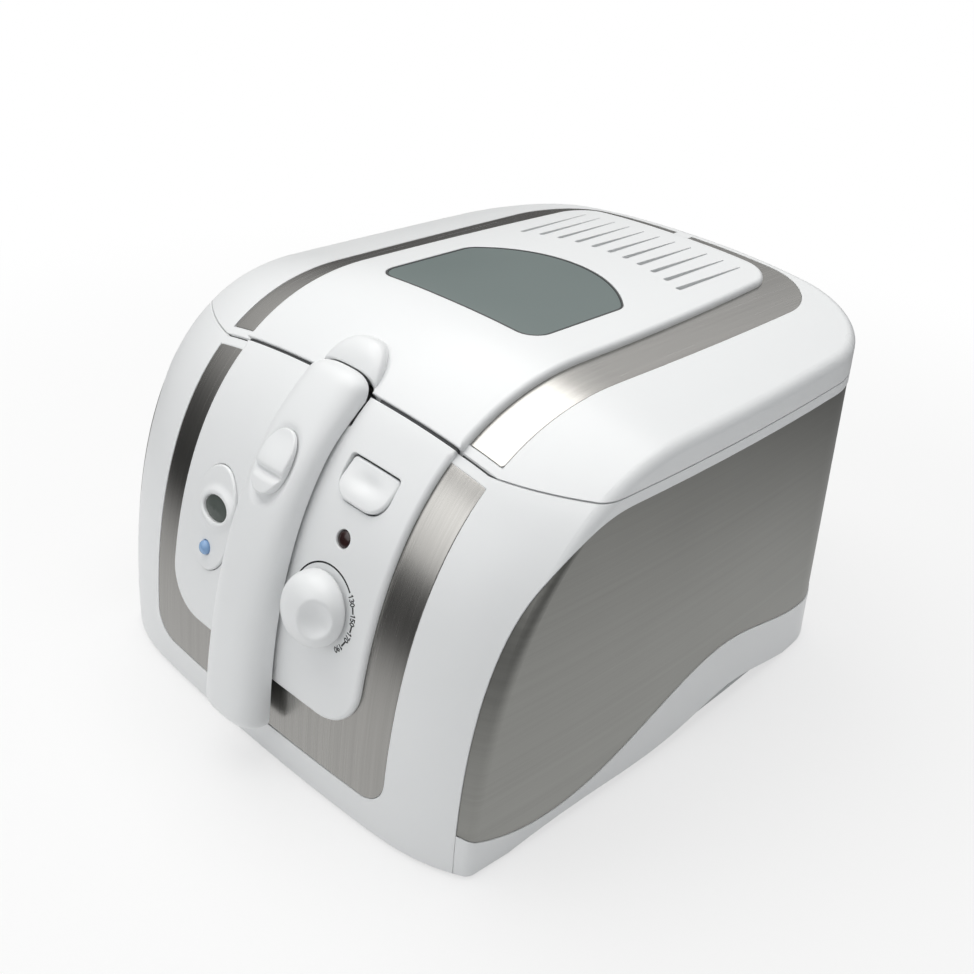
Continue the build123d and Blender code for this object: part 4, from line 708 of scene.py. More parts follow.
lidPanel = {"frontHalf": 74.5, "frontY": -100.196, "midHalf": 76.0, "midY": 10.0, "rearHalf": 68.5,
            "rearY": 143.5, "corner": 20.0, "rise": 3.5, "edge": 2.6, "seamEdge": 0.7, "seamBand": 1.0,
            "holeEdge": 0.5, "holeSpan": 130.0, "ventEdge": 0.2, "ventSpan": 20.0, "nookHalf": 18.3,
            "nookDepth": 5.6, "nookBand": 1.0, "nookReach": 7.0}
strip = {"frontHalf": 94.75, "frontY": -85.25, "midHalf": 97.25, "midY": 30.0, "rearHalf": 94.75,
         "rearY": 154.25, "corner": 37.75, "split": 5.25, "splitRound": 1.0, "sheet": 0.8, "sunk": 0.15,
         "tuck": 5.0, "endRound": 1.8, "edge": 0.25}
window = {"half": 54.0, "frontY": -27.0, "sideY": 36.0, "apexY": 60.5, "corner": 11.0, "sunk": 0.5,
          "low": -0.7, "edge": 0.3, "gasket": 1.3, "gasketGap": 0.1, "gasketLap": 0.05, "gasketSunk": 0.25,
          "gasketEdge": 0.25}
vent = {"count": 11, "pitch": 10.8, "frontY": 87.5, "arcDrop": 10.0, "rearY": 131.0, "frontHalf": 1.55,
        "rearHalf": 0.35, "frontRound": 1.2, "rearRound": 0.3}


def toRun(loop):
    x, y = np.asarray(loop, float).T
    return np.stack([x, runAtDepth(x, y)], axis=1)


def lidSide(look, frontY, inset):
    arc = arcThrough((look["frontHalf"] - inset, look["frontY"]), (look["midHalf"] - inset, look["midY"]),
                     (look["rearHalf"] - inset, look["rearY"] - inset), 70)
    front = np.interp(frontY, [y for x, y in arc], [x for x, y in arc])
    return [(front, frontY)] + [spot for spot in arc if spot[1] > frontY + 0.5]


def windowLoop(grow):
    half, front, side = window["half"] + grow, window["frontY"] - grow, window["sideY"]
    corner = window["corner"] + grow
    arc = arcThrough((half, side), (0.0, window["apexY"] + grow), (-half, side), 41)
    corners = [(-half, front, corner), (half, front, corner), (half, side, corner)]
    corners += [(x, y, 0) for x, y in arc[1:-1]] + [(-half, side, corner)]
    return toRun(spread(rounded(corners, 10), mesher["fineOutline"]))


def lidPanelEdge(loop):
    x, run = loop.T
    if np.ptp(x) < lidPanel["holeSpan"]:
        return np.full(len(loop), lidPanel["holeEdge" if np.ptp(x) > lidPanel["ventSpan"] else "ventEdge"])
    front = run < runAtDepth(x, form["lidFrontY"]) + lidPanel["seamBand"]
    nookRun = runAtDepth(0.0, form["lidFrontY"] + lidPanel["nookReach"])
    nook = (np.abs(x) < lidPanel["nookHalf"] + lidPanel["nookBand"]) & (run < nookRun)
    return np.where(front | nook, lidPanel["seamEdge"], lidPanel["edge"])


side = lidSide(lidPanel, form["lidFrontY"], 0.0)
lidCorners = [(x, y, 0) for x, y in side[:-1]] + [(*side[-1], lidPanel["corner"])]
lidCorners += [(-x, y, r) for x, y, r in reversed(lidCorners)]
nook = [(-lidPanel["nookHalf"] * cos(a), form["lidFrontY"] + lidPanel["nookDepth"] * sin(a), 0)
        for a in np.linspace(0, pi, 19)]
lidLoop = toRun(spread(rounded(lidCorners + nook, 12), mesher["outline"]))
vents = []
middle = (vent["count"] - 1) / 2
for k in range(vent["count"]):
    share = (k - middle) / middle
    x, front = share * middle * vent["pitch"], vent["frontY"] - vent["arcDrop"] * share ** 2
    wide, thin = vent["frontHalf"], vent["rearHalf"]
    wedge = [(x - wide, front, vent["frontRound"]), (x + wide, front, vent["frontRound"]),
             (x + thin, vent["rearY"], vent["rearRound"]), (x - thin, vent["rearY"], vent["rearRound"])]
    vents.append(toRun(spread(rounded(wedge, 5), mesher["fineOutline"])))
lidFace = plate(onSkin, lidLoop, [windowLoop(0.0)] + vents, 0.0, lidPanel["rise"], lidPanelEdge)
addPiece("lid_panel_face", "white_plastic", "lid", lidFace, ["lid_panel"])

outer = lidSide(strip, strip["frontY"], 0.0)
inner = lidSide(lidPanel, strip["frontY"], strip["tuck"])
rearIn = lidPanel["rearY"] - strip["tuck"]
shape = [(*inner[0], strip["endRound"]), (*outer[0], strip["endRound"])] + [(x, y, 0) for x, y in outer[1:-1]]
shape += [(*outer[-1], strip["corner"]), (strip["split"], strip["rearY"], strip["splitRound"])]
shape += [(strip["split"], rearIn, 0), (*inner[-1], lidPanel["corner"] - strip["tuck"])]
shape += [(x, y, 0) for x, y in inner[-2:0:-1]]
stripLoop = spread(rounded(shape, 12), mesher["outline"])
for name, sign in (("right", 1), ("left", -1)):
    loop = toRun(stripLoop * np.array([sign, 1.0]))
    addPiece("lid_strip_sheet_" + name, "brushed_trim", "lid",
             plate(onSkin, loop, [], -strip["sheet"], -strip["sunk"], strip["edge"]), ["lid_strip_" + name])

paneTop, gasketTop = lidPanel["rise"] - window["sunk"], lidPanel["rise"] - window["gasketSunk"]
pane = plate(onSkin, windowLoop(-window["gasket"]), [], window["low"], paneTop, window["edge"], 8.0)
addPiece("window_pane", "window_glass", "lid", pane, ["window_glass"])
gasketHole = windowLoop(-window["gasket"] + window["gasketLap"])
gasket = plate(onSkin, windowLoop(-window["gasketGap"]), [gasketHole], window["low"], gasketTop,
               window["gasketEdge"], 0)
addPiece("window_gasket_ring", "seal_rubber", "lid", gasket, ["window_gasket"])
print("lid face, strips and window made")


# Lift handle: a hollow bar that follows the front and turns over its pivot

handle = {"half": 18.5, "wall": 2.4, "leastRoom": 0.6, "base": 5.0, "barrelBase": 3.0, "topRise": 14.0,
          "lowRise": 21.8, "riseGrowth": 1.5, "lowZ": 25.0, "endRound": 9.0, "endTaper": 0.35,
          "endShares": (0.6, 0.25, 0.0), "power": 3.0, "barrelPower": 2.9, "blendLength": 30.0,
          "rearAngle": 61.0, "rowStep": 1.5, "across": 44, "recessDepth": 1.3, "recessHalf": 11.6,
          "recessLow": -19.5, "recessHigh": 16.0, "recessPower": 1.3,
          "recessRim": (0.86, 1.04), "recessAbove": 4.0}
liner = {"base": 4.0, "lap": 0.6, "inset": 1.6, "end": 3.0, "drop": 7.0, "lowRound": 4, "topRound": 2,
         "edge": 0.3}
slide = {"z": 146.0, "half": 9.8, "high": 14.0, "plan": 0.9, "gap": 0.4, "foot": 0.2, "bedRise": 0.9,
         "crown": 1.25, "padRise": 3.5, "padLow": 0.35, "padRun": (-12.0, 3.0), "crease": (2.6, 5.0),
         "creaseRise": 0.5, "lobeRise": 2.7, "lobeRun": (4.4, 8.5), "edge": 0.8, "step": 1.2}

tAt = lambda run: np.interp(run, profileRun, profileT)
lowRun = float(runAtHeight(0.0, handle["lowZ"]))
pivotT, lowT = float(tAt(pivotRun)), float(tAt(lowRun))
slideRun = float(runAtHeight(0.0, slide["z"]))


def handleRise(run):
    share = np.clip((pivotT - tAt(run)) / (pivotT - lowT), 0.0, 1.0)
    return handle["topRise"] + (handle["lowRise"] - handle["topRise"]) * share ** handle["riseGrowth"]


def middleFrames(runs):
    # points on the middle of the front, with their outward directions
    none = np.zeros(len(runs))
    along = unit(bareSkin(none, runs + 0.05) - bareSkin(none, runs - 0.05))
    return bareSkin(none, runs), columns(none, -along[:, 2], along[:, 1])


def middleFrame(run):
    spots, outs = middleFrames(np.array([run]))
    return spots[0], outs[0]


def archSection(half, base, top, power):
    # arch from the left foot over the top to the right foot, as (x, height)
    turn = np.linspace(pi, 0, handle["across"] + 1)
    c, s = np.cos(turn), np.sin(turn)
    return half * np.sign(c) * np.abs(c) ** (2 / power), base + (top - base) * np.abs(s) ** (2 / power)


def smoothStep(value, low, high):
    share = np.clip((value - low) / (high - low), 0.0, 1.0)
    return share * share * (3 - 2 * share)


def thumbRecess(x, run):
    # shallow oval bed that the thumb slide runs in
    low, high = handle["recessLow"], handle["recessHigh"]
    upward = np.abs((run - slideRun - (low + high) / 2) / ((high - low) / 2)) ** handle["recessPower"]
    reach = np.hypot(np.abs(x) / handle["recessHalf"], upward)
    return handle["recessDepth"] * (1.0 - smoothStep(reach, *handle["recessRim"]))


def handleStations():
    # place, outward direction, run along the front if any, foot, top, droop of the end and squareness
    pivot = np.array([0.0, barrel["y"], barrel["z"]])
    out = middleFrame(pivotRun)[1]
    stations = []
    for angle in np.linspace(radians(handle["rearAngle"]), np.arctan2(out[2], out[1]), 16)[:-1]:
        out = np.array([0.0, cos(angle), sin(angle)])
        stations.append((pivot, out, None, 0.0, barrel["radius"], 0.0, handle["barrelPower"]))
    runs = list(np.arange(pivotRun, lowRun + handle["endRound"], -handle["rowStep"]))
    runs += list(lowRun + handle["endRound"] * (1 - np.sin(np.linspace(0, pi / 2, 12))))
    for run in runs:
        near = smoothStep(run, pivotRun - handle["blendLength"], pivotRun)
        base = handle["base"] + (handle["barrelBase"] - handle["base"]) * near
        power = handle["power"] + (handle["barrelPower"] - handle["power"]) * near
        left = np.clip((run - lowRun) / handle["endRound"], 0.0, 1.0)
        droop = handle["endRound"] * (1 - sqrt(max(1 - (1 - left) ** 2, 0.0)))
        stations.append((*middleFrame(run), run, base, handleRise(run) - droop, droop, power))
    return stations


def handleRow(spot, out, run, half, base, top, power):
    # one arch of the handle in its place, dished where the thumb slide runs
    x, height = archSection(half, base, top, power)
    if run is not None:
        height = height - thumbRecess(x, run) * (height > base + handle["recessAbove"])
    return spot + np.outer(x, [1.0, 0, 0]) + np.outer(height, out)


def handleShell():
    wall, stations = handle["wall"], handleStations()
    lastRun = lowRun + wall
    outer, inner = [], []
    for spot, out, run, base, top, droop, power in stations:
        half = handle["half"] - handle["endTaper"] * droop
        room = max(top - wall, base + handle["leastRoom"])
        outer.append(handleRow(spot, out, run, half, base, top, power))
        if run is not None and run < lastRun:
            run = lastRun
            spot, out = middleFrame(run)
        inner.append(handleRow(spot, out, run, half - wall, base, room, power))
    # the end wall: the last arch sinks to the foot on both faces
    for share in handle["endShares"]:
        outer.append(handleRow(*stations[-1][:2], None, half, base, base + (top - base) * share, power))
        inner.append(handleRow(spot, out, None, half - wall, base, base + (room - base) * share, power))
    count, wide = len(outer), len(outer[0])
    shift, last = count * wide, (count - 1) * wide
    faces = []
    for a in range(0, last, wide):
        b, right = a + wide, wide - 1
        for j in range(right):
            quad = (a + j, b + j, b + j + 1, a + j + 1)
            faces += [quad, tuple(shift + quad[k] for k in (0, 3, 2, 1))]
        faces += [(a, shift + a, shift + b, b), (a + right, b + right, shift + b + right, shift + a + right)]
    for j in range(wide - 1):
        k = last + j
        faces += [(j, j + 1, shift + j + 1, shift + j), (k, shift + k, shift + k + 1, k + 1)]
    return np.concatenate(outer + inner), faces


addPiece("handle_bar", "white_plastic", "handle", handleShell(), ["handle_grip"], sharp=50.0)


def alongFront(u, v, rise):
    # middle of the front carried straight across, as the handle's back is
    spots, outs = middleFrames(v)
    return spots + columns(u, u * 0, u * 0) + outs * np.asarray(rise, float).reshape(-1, 1)


half, linerLow = handle["half"] - liner["inset"], lowRun + liner["end"]
linerTop = pivotRun - barrel["radius"] - liner["drop"]
linerCorners = [(-half, linerLow, liner["lowRound"]), (half, linerLow, liner["lowRound"]),
                (half, linerTop, liner["topRound"]), (-half, linerTop, liner["topRound"])]
linerPlate = plate(alongFront, spread(rounded(linerCorners, 6), mesher["outline"]), [], liner["base"],
                   handle["base"] + liner["lap"], liner["edge"])
addPiece("handle_back_plate", "pale_plastic", "handle", linerPlate, ["handle_liner"])


def slideBed(run):
    return handleRise(run) - handle["recessDepth"] + slide["gap"]


def slideLift(u, v):
    # domed pad above, a crease, and a lower lobe, measured from the skin
    dome = np.sqrt(np.clip(1 - (u / (slide["half"] * slide["crown"])) ** 2, 0.05, 1.0))
    crease = smoothStep(-v, *slide["crease"])
    swell = slide["padLow"] + (1 - slide["padLow"]) * smoothStep(-v, *slide["padRun"])
    pad = slide["padRise"] * swell * (1 - crease)
    lobe = slide["lobeRise"] * smoothStep(-v, *slide["lobeRun"])
    return slideBed(slideRun + v) + slide["bedRise"] + (pad + lobe + slide["creaseRise"] * crease) * dome


slideHalf = np.array([slide["half"], slide["high"]])
slideLoop = ellipse(*slideHalf, count=72)
slideLoop = np.sign(slideLoop) * np.abs(slideLoop / slideHalf) ** slide["plan"] * slideHalf
slidePlate = plate(lambda u, v, rise: alongFront(u, v + slideRun, rise), slideLoop, [],
                   float(slideBed(slideRun)) - slide["foot"], slideLift, slide["edge"], slide["step"])
addPiece("thumb_slide_cap", "white_plastic", "thumb_slide", slidePlate, ["handle_slide"])
print("handle, back plate and thumb slide made")


# Nose of the lid: a dome over the handle's barrel that runs out on the lid panel, hollowed for the barrel

nose = {"half": 18.3, "length": 19.5, "rise": 5.3, "swell": 5.0, "plan": 1.6, "power": 2.6, "lip": 1.0,
        "draw": 0.25, "sink": 4.0, "gap": 0.02, "least": 0.05,
        "frontRows": (0.0, 0.1, 0.3, 0.7, 1.2, 1.7, 2.2), "rows": 30, "across": 48, "socketRows": 41,
        "socketSides": 64, "socketEnd": 0.4, "groundFrom": -95.0, "groundTo": -40.0, "groundCount": 160}


def carve(base, tool):
    # cut the tool out of the base, and leave only the result's points and faces
    cut = base.modifiers.new("cut", "BOOLEAN")
    cut.operation, cut.solver, cut.object = "DIFFERENCE", "EXACT", tool
    bpy.context.view_layer.update()
    ready = base.evaluated_get(bpy.context.evaluated_depsgraph_get())
    mesh = ready.to_mesh()
    points = [np.array(v.co) / mm for v in mesh.vertices]
    faces = [tuple(face.vertices) for face in mesh.polygons]
    ready.to_mesh_clear()
    for holder in (base, tool):
        bpy.data.objects.remove(holder)
    return points, faces


def solidObject(name, rings):
    return linked(name, meshOf(name, *loft(rings)))


def noseRing(back):
    # upright section of the nose some way behind the front of the lid, closed under the panel
    y = form["lidFrontY"] + nose["gap"] + back
    share = back / nose["length"]
    lip = nose["draw"] * (1 - sqrt(1 - (1 - min(back, nose["lip"]) / nose["lip"]) ** 2))
    half = max(nose["half"] * (1 - share ** nose["plan"]) ** (1 / nose["plan"]) - lip, nose["least"])
    rise = max(nose["rise"] * (1 - share) + 4 * nose["swell"] * share * (1 - share) - lip, nose["least"])
    turn = np.linspace(0, pi, nose["across"] + 1)
    c, s = np.cos(turn), np.sin(turn)
    x = half * np.sign(c) * np.abs(c) ** (2 / nose["power"])
    ground = np.interp(y, lidTop[:, 1], lidTop[:, 2])
    ring = columns(x, y, ground + rise * np.abs(s) ** (2 / nose["power"]))
    return np.vstack([ring, [(-half, y, ground - nose["sink"]), (half, y, ground - nose["sink"])]])


def socketRing(x):
    # round section of the barrel's room, narrowing toward its ends
    power = handle["barrelPower"]
    share = np.clip(1 - (abs(x) / socketHalf) ** power, 0.0, 1.0) ** (1 / power)
    radius = max((barrel["radius"] + barrel["gap"]) * share, nose["socketEnd"])
    return columns(x, *ellipse(radius, radius, barrel["y"], barrel["z"], nose["socketSides"]).T)


depths = np.linspace(nose["groundFrom"], nose["groundTo"], nose["groundCount"])
lidTop = onSkin(np.zeros(len(depths)), runAtDepth(0.0, depths), lidPanel["rise"])
frontEnd = nose["frontRows"][-1]
rearRows = frontEnd + (nose["length"] - frontEnd) * np.sin(np.linspace(0, pi / 2, nose["rows"]))[1:]
egg = solidObject("egg", [noseRing(back)[::-1] for back in [*nose["frontRows"], *rearRows]])
socketHalf = barrel["half"] + barrel["gap"]
socket = solidObject("socket", [socketRing(x) for x in
                                -socketHalf * np.cos(np.linspace(0, pi, nose["socketRows"]))])
addPiece("lid_nose_cap", "white_plastic", "lid", carve(egg, socket), ["lid_nose"])
print("lid nose made")


# Controls on the front panel

knob = {"radius": 17.4, "foot": 4.0, "height": 14.6, "power": 2.5, "skirt": 1.6, "least": 0.15,
        "footEdge": ((1.2, 0.0), (0.4, 0.3), (0.0, 1.0)), "dentU": 15.0, "dentV": 0.0, "dentRadius": 13.5,
        "dentFloor": 10.8, "dentSoft": 2.0}
scale = {"radius": 19.6, "width": 0.8, "from": 44.0, "to": 158.0, "markGap": 8.0, "size": 2.5, "stroke": 0.2,
         "strokeReach": 0.35, "pitch": 0.72, "shift": 0.1, "sink": 0.05, "rise": 0.04, "edge": 0.01,
         "marks": [("130", 34.0), ("150", 9.0), ("170", -16.0), ("190", -42.0)]}


def knobDent(u, v, height):
    # thumb scoop, hollowed by a ball beside the middle, its rim softened
    reach = (u - knob["dentU"]) ** 2 + (v - knob["dentV"]) ** 2
    ball = knob["dentFloor"] + knob["dentRadius"] - np.sqrt(np.maximum(knob["dentRadius"] ** 2 - reach, 0.0))
    share = np.clip(0.5 + (ball - height) / (2 * knob["dentSoft"]), 0.0, 1.0)
    return ball * (1 - share) + height * share - knob["dentSoft"] * share * (1 - share)


profile = [(knob["radius"] - draw, knob["foot"] + rise) for draw, rise in knob["footEdge"]]
for lean in np.linspace(0.0, pi / 2, 44)[1:-1]:
    rise = knob["skirt"] + (knob["height"] - knob["skirt"]) * sin(lean) ** (2 / knob["power"])
    profile.append((knob["radius"] * cos(lean) ** (2 / knob["power"]), knob["foot"] + rise))
profile = [(radius, rise) for radius, rise in profile if radius > knob["least"]]
addPiece("thermostat_dial", "white_plastic", "knob", dome(seat(*dials["knob"]), profile, 120, knobDent),
         ["thermostat_knob"], sharp=60.0)


def arcBand(first, last):
    turn = np.radians(np.linspace(first, last, max(3, int(abs(last - first) / 3))))
    outer, inner = scale["radius"] + scale["width"] / 2, scale["radius"] - scale["width"] / 2
    return np.array([(outer * cos(a), outer * sin(a)) for a in turn]
                    + [(inner * cos(a), inner * sin(a)) for a in turn[::-1]])


strokes = {"0": [(0.0, 0.25), (0.0, 0.75), (0.25, 1.0), (0.5, 0.75), (0.5, 0.25), (0.25, 0.0), (0.0, 0.25)],
           "1": [(0.08, 0.8), (0.28, 1.0), (0.28, 0.0)],
           "3": [(0.0, 0.9), (0.25, 1.0), (0.48, 0.78), (0.25, 0.54), (0.5, 0.27), (0.25, 0.0), (0.0, 0.1)],
           "5": [(0.46, 1.0), (0.06, 1.0), (0.03, 0.56), (0.3, 0.62), (0.5, 0.33), (0.28, 0.0), (0.0, 0.1)],
           "7": [(0.0, 1.0), (0.5, 1.0), (0.18, 0.0)],
           "9": [(0.46, 0.62), (0.2, 0.45), (0.02, 0.72), (0.25, 1.0), (0.48, 0.72), (0.42, 0.25),
                 (0.15, 0.0)]}


def onScale(corners, left, angle):
    # outline in a figure's own (across, up) bent round the dial's ring, its top outward
    spots = []
    for a, b in corners:
        turn = radians(angle) - ((a + left + scale["shift"]) * scale["size"]) / scale["radius"]
        radius = scale["radius"] + (b - 0.5) * scale["size"]
        spots.append((radius * cos(turn), radius * sin(turn)))
    return np.array(spots)


def number(text, angle):
    loops = []
    for k, figure in enumerate(text):
        left = scale["pitch"] * (k - len(text) / 2)
        line = np.array(strokes[figure])
        for start, end in zip(line[:-1], line[1:]):
            ahead = (end - start) / np.linalg.norm(end - start)
            side = np.array([-ahead[1], ahead[0]]) * scale["stroke"] / 2
            reach = ahead * scale["stroke"] * scale["strokeReach"]
            corners = [start - reach - side, end + reach - side, end + reach + side, start - reach + side]
            loops.append(onScale(corners, left, angle))
    return loops


angles, gap = [angle for text, angle in scale["marks"]], scale["markGap"]
ink = [arcBand(scale["from"], scale["to"])]
ink += [arcBand(low + gap, high - gap) for high, low in zip(angles[:-1], angles[1:])]
for text, angle in scale["marks"]:
    ink += number(text, angle)
inkLow, inkHigh = panel["rise"] - scale["sink"], panel["rise"] + scale["rise"]
inkSheets = [plate(local(dials["knob"]), loop, [], inkLow, inkHigh, scale["edge"], 0, 1) for loop in ink]
addPiece("dial_print", "dark_plastic", "body", gather(*inkSheets))

release = {"gapEdge": 2.5, "lobeRise": 5.4, "lobeRun": (-9.5, 6.5), "dishDepth": 2.0, "dishHalf": (9.0, 4.2),
           "dishV": 1.0, "sideDrop": 0.9, "edge": 1.3, "foot": -5.4, "step": 1.3}


def releaseLift(u, v):
    # low at its top edge, swelling to a lobe at the foot, with a finger dish between
    lobe = (release["lobeRise"] - release["gapEdge"]) * smoothStep(-v, *release["lobeRun"])
    across, upward = u / release["dishHalf"][0], (v - release["dishV"]) / release["dishHalf"][1]
    side = release["sideDrop"] * (np.abs(u) / (dials["releaseWidth"] / 2)) ** 4
    return release["gapEdge"] + lobe - release["dishDepth"] * np.exp(-(across ** 2 + upward ** 2)) - side


releaseKey = plate(local(dials["release"]), releaseLoop(0.0), [], release["foot"], releaseLift,
                   release["edge"], release["step"], 5)
addPiece("release_key", "white_plastic", "release", releaseKey, ["release_button"])

timer = {"rise": 4.2, "edge": 1.0, "holeEdge": 0.5, "holeSpan": 30.0, "ringRise": 1.7, "ringOut": 1.6,
         "ringWidth": 2.4, "lens": (-40.5, 111.3), "lensHalf": (9.6, 6.2), "lensGap": 0.1, "lensFoot": 2.0,
         "lensRise": 3.9, "lensDome": 0.5, "domeReach": 6.0, "lensEdge": 0.2, "buttonGap": 0.15, "step": 1.6,
         "lensStep": 1.5}
lensShift = spotOf(timer["lens"]) - spotOf(dials["timer"])
buttonShift = spotOf(dials["button"]) - spotOf(dials["timer"])


def lensReach(u, v):
    # distance out from the lens edge, nearly in millimetres
    across, upward = u - lensShift[0], v - lensShift[1]
    share = np.hypot(across / timer["lensHalf"][0], upward / timer["lensHalf"][1])
    return (share - 1) * np.hypot(across, upward) / np.maximum(share, 1e-6)


def bezelLift(u, v):
    out = (lensReach(u, v) - timer["ringOut"]) / timer["ringWidth"]
    return timer["rise"] + timer["ringRise"] * np.exp(-out ** 2)


def bezelEdge(loop):
    return np.full(len(loop), timer["edge" if np.ptp(loop[:, 1]) > timer["holeSpan"] else "holeEdge"])


def lensLift(u, v):
    return timer["lensRise"] + timer["lensDome"] * np.clip(-lensReach(u, v) / timer["domeReach"], 0.0, 1.0)


buttonRoom = dials["buttonRadius"] + timer["buttonGap"]
bezelHoles = [ellipse(*timer["lensHalf"], *lensShift), ellipse(buttonRoom, buttonRoom, *buttonShift, 40)]
bezelLoop = ellipse(*dials["timerHalf"], count=96)
bezel = plate(local(dials["timer"]), bezelLoop, bezelHoles, 0.0, bezelLift, bezelEdge, timer["step"])
addPiece("timer_surround", "white_plastic", "body", bezel, ["timer_bezel"])
lensLoop = ellipse(*(half - timer["lensGap"] for half in timer["lensHalf"]), *lensShift)
lens = plate(local(dials["timer"]), lensLoop, [], timer["lensFoot"], lensLift, timer["lensEdge"],
             timer["lensStep"])
addPiece("timer_display", "display_window", "body", lens, ["timer_lens"])

# round caps on stems: the foot's outline, then a straight rim up to the shoulder and a domed crown
button = {"radius": dials["buttonRadius"], "foot": [(2.8, -7.4), (3.0, -7.2), (3.0, 1.4)], "rim": 1.6,
          "shoulder": 4.8, "crown": 2.2}
pilot = {"radius": dials["pilotRadius"] - 0.05, "foot": [(3.4, -3.9), (3.4, 0.0)], "rim": 0.1,
         "shoulder": 1.6, "crown": 1.1}


def cap(place, look):
    profile = look["foot"] + [(look["radius"], look["rim"]), (look["radius"], look["shoulder"])]
    profile += [(look["radius"] * cos(a), look["shoulder"] + look["crown"] * sin(a))
                for a in np.linspace(0, pi / 2, 14)[1:-1]]
    return dome(seat(*place), profile, 48)


timerKey, jewel = cap(dials["button"], button), cap(dials["pilot"], pilot)
addPiece("timer_key_cap", "button_blue", "timer_key", timerKey, ["timer_button"], sharp=60.0)
addPiece("pilot_jewel", "pilot_red", "body", jewel, ["pilot_lens"], sharp=60.0)

# painted shade: a dark rubber strip sunk in the seam between front and lid, standing in for the shadow deep
# in the gap, higher between the raised panels
seamShadeStrip = {"front": -90.1, "rear": -89.1, "low": -4.0, "edge": 0.2,
           "lengths": {"inner": (notchHalf + 5.0, 73.2, 1.9), "outer": (75.4, 120.0, -0.8)}}
for name, (first, last, high) in seamShadeStrip["lengths"].items():
    parts = []
    for sign in (1, -1):
        x = sign * np.linspace(first, last, 30)
        loop = toRun([(a, seamShadeStrip["front"]) for a in x] + [(a, seamShadeStrip["rear"]) for a in x[::-1]])
        parts.append(plate(onSkin, loop, [], seamShadeStrip["low"], high, seamShadeStrip["edge"], 0, 2))
    addPiece("seam_lip_" + name, "seal_rubber", "body", gather(*parts))
print("dial, release key, timer and pilot made")


# Wire basket

basket = {"half": 92.0, "frontY": -45.19, "rearY": 126.0, "corner": 30.0, "floorZ": 46.0, "topZ": 116.0,
          "taper": 5.0, "rimWire": 2.0, "wire": 0.95, "wireSides": 8, "wallGap": 1.0, "pitch": 9.5,
          "crossPitch": 15.2, "floorRound": 9.0, "hoops": 4, "hoopDrop": 14.0, "ribs": 56, "rimTuck": 0.4,
          "floorRise": 0.2, "floorIn": 0.6, "floorMargin": 4.0, "crossLift": 1.8}


def basketLoop(inset, count):
    right, front, rear = basket["half"] - inset, basket["frontY"] + inset, basket["rearY"] - inset
    corners = [(-right, front), (right, front), (right, rear), (-right, rear)]
    loop = spread(rounded([(x, y, basket["corner"] - inset * 0.5) for x, y in corners], 12), 2.0)
    ends = np.concatenate([[0.0], np.cumsum(np.linalg.norm(np.roll(loop, -1, axis=0) - loop, axis=1))])
    closed = np.vstack([loop, loop[:1]])
    spots = np.linspace(0, ends[-1], count, endpoint=False)
    return np.stack([np.interp(spots, ends, closed[:, 0]), np.interp(spots, ends, closed[:, 1])], axis=1)


def wallInset(z):
    # the wall leans in downward and turns under at the floor
    rise = z - basket["floorZ"]
    lean = basket["taper"] * (1 - rise / (basket["topZ"] - basket["floorZ"]))
    turn = basket["floorRound"]
    under = np.where(rise < turn, turn - np.sqrt(np.maximum(turn ** 2 - (turn - rise) ** 2, 0.0)), 0.0)
    return float(basket["wire"] + basket["wallGap"] + lean + under)


def levelWire(loop, z, radius, sides):
    return tube(columns(*loop.T, z), radius, sides, True)


wire, sides = basket["wire"], basket["wireSides"]
rimZ = basket["topZ"] - basket["rimWire"]
parts = [levelWire(basketLoop(basket["rimWire"], 150), rimZ, basket["rimWire"], 14)]
turnZ = basket["floorZ"] + basket["floorRound"]
for z in np.linspace(turnZ, basket["topZ"] - basket["hoopDrop"], basket["hoops"]):
    parts.append(levelWire(basketLoop(wallInset(z) + wire, 130), z, wire, sides))
# ribs from the rim down the wall and round under the floor
levels = np.concatenate([[rimZ], np.linspace(basket["topZ"] - 10, basket["floorZ"] + 10, 5),
                         basket["floorZ"] + basket["floorRound"] * (1 - np.sin(np.linspace(0.15, 1.45, 6)))])
rows = [basketLoop(wallInset(z) - wire + (basket["rimTuck"] if z == rimZ else 0.0), basket["ribs"])
        for z in levels]
parts += [tube([(*row[j], z) for row, z in zip(rows, levels)], wire, sides) for j in range(basket["ribs"])]
# floor wires both ways, the second layer on top of the first
base = basketLoop(wallInset(basket["floorZ"] + basket["floorIn"]), 400)
for axis, pitch in enumerate((basket["pitch"], basket["crossPitch"])):
    other = 1 - axis
    middleAt = (base[:, axis].min() + base[:, axis].max()) / 2
    reach = np.ptp(base[:, axis]) / 2 - basket["floorMargin"]
    z = basket["floorZ"] + basket["floorRise"] + wire * (1 + basket["crossLift"] * axis)
    for spot in middleAt + np.arange(-reach, reach + 0.1, pitch):
        near = base[np.abs(base[:, axis] - spot) < 1.2][:, other]
        line = np.zeros((12, 3))
        line[:, axis], line[:, other], line[:, 2] = spot, np.linspace(near.min(), near.max(), 12), z
        parts.append(tube(line, wire, sides))
addPiece("wire_basket", "basket_wire", "basket", gather(*parts), ["basket_tub", "basket_rim"], sharp=60.0)
print("wire basket made")


# Studio

studio = {
    "place": (408.4, -423.0, 427.1), "right": (0.7013, 0.7108, 0.0543), "up": (-0.3851, 0.3136, 0.8679),
    "lens": 47.14, "sensor": 36.0, "clip": 0.01, "floorHalf": 4.0, "floorShade": (0.86, 0.86, 0.86),
    "floorPale": (0.88, 0.88, 0.88), "floorGrain": 900.0, "glowNear": 0.62, "glowFrom": 0.3, "glowTo": 0.75,
    "mirrorFrom": 0.22, "mirrorTo": 0.7, "mirrorNear": 0.8, "mirrorFar": 0.05, "airLight": 0.42,
    "airColour": (0.96, 0.98, 1.0),
    "room": [(0.46, 0.3), (0.5, 0.06), (0.6, 0.1), (0.7, 0.55), (0.76, 0.85), (0.86, 1.0)]}


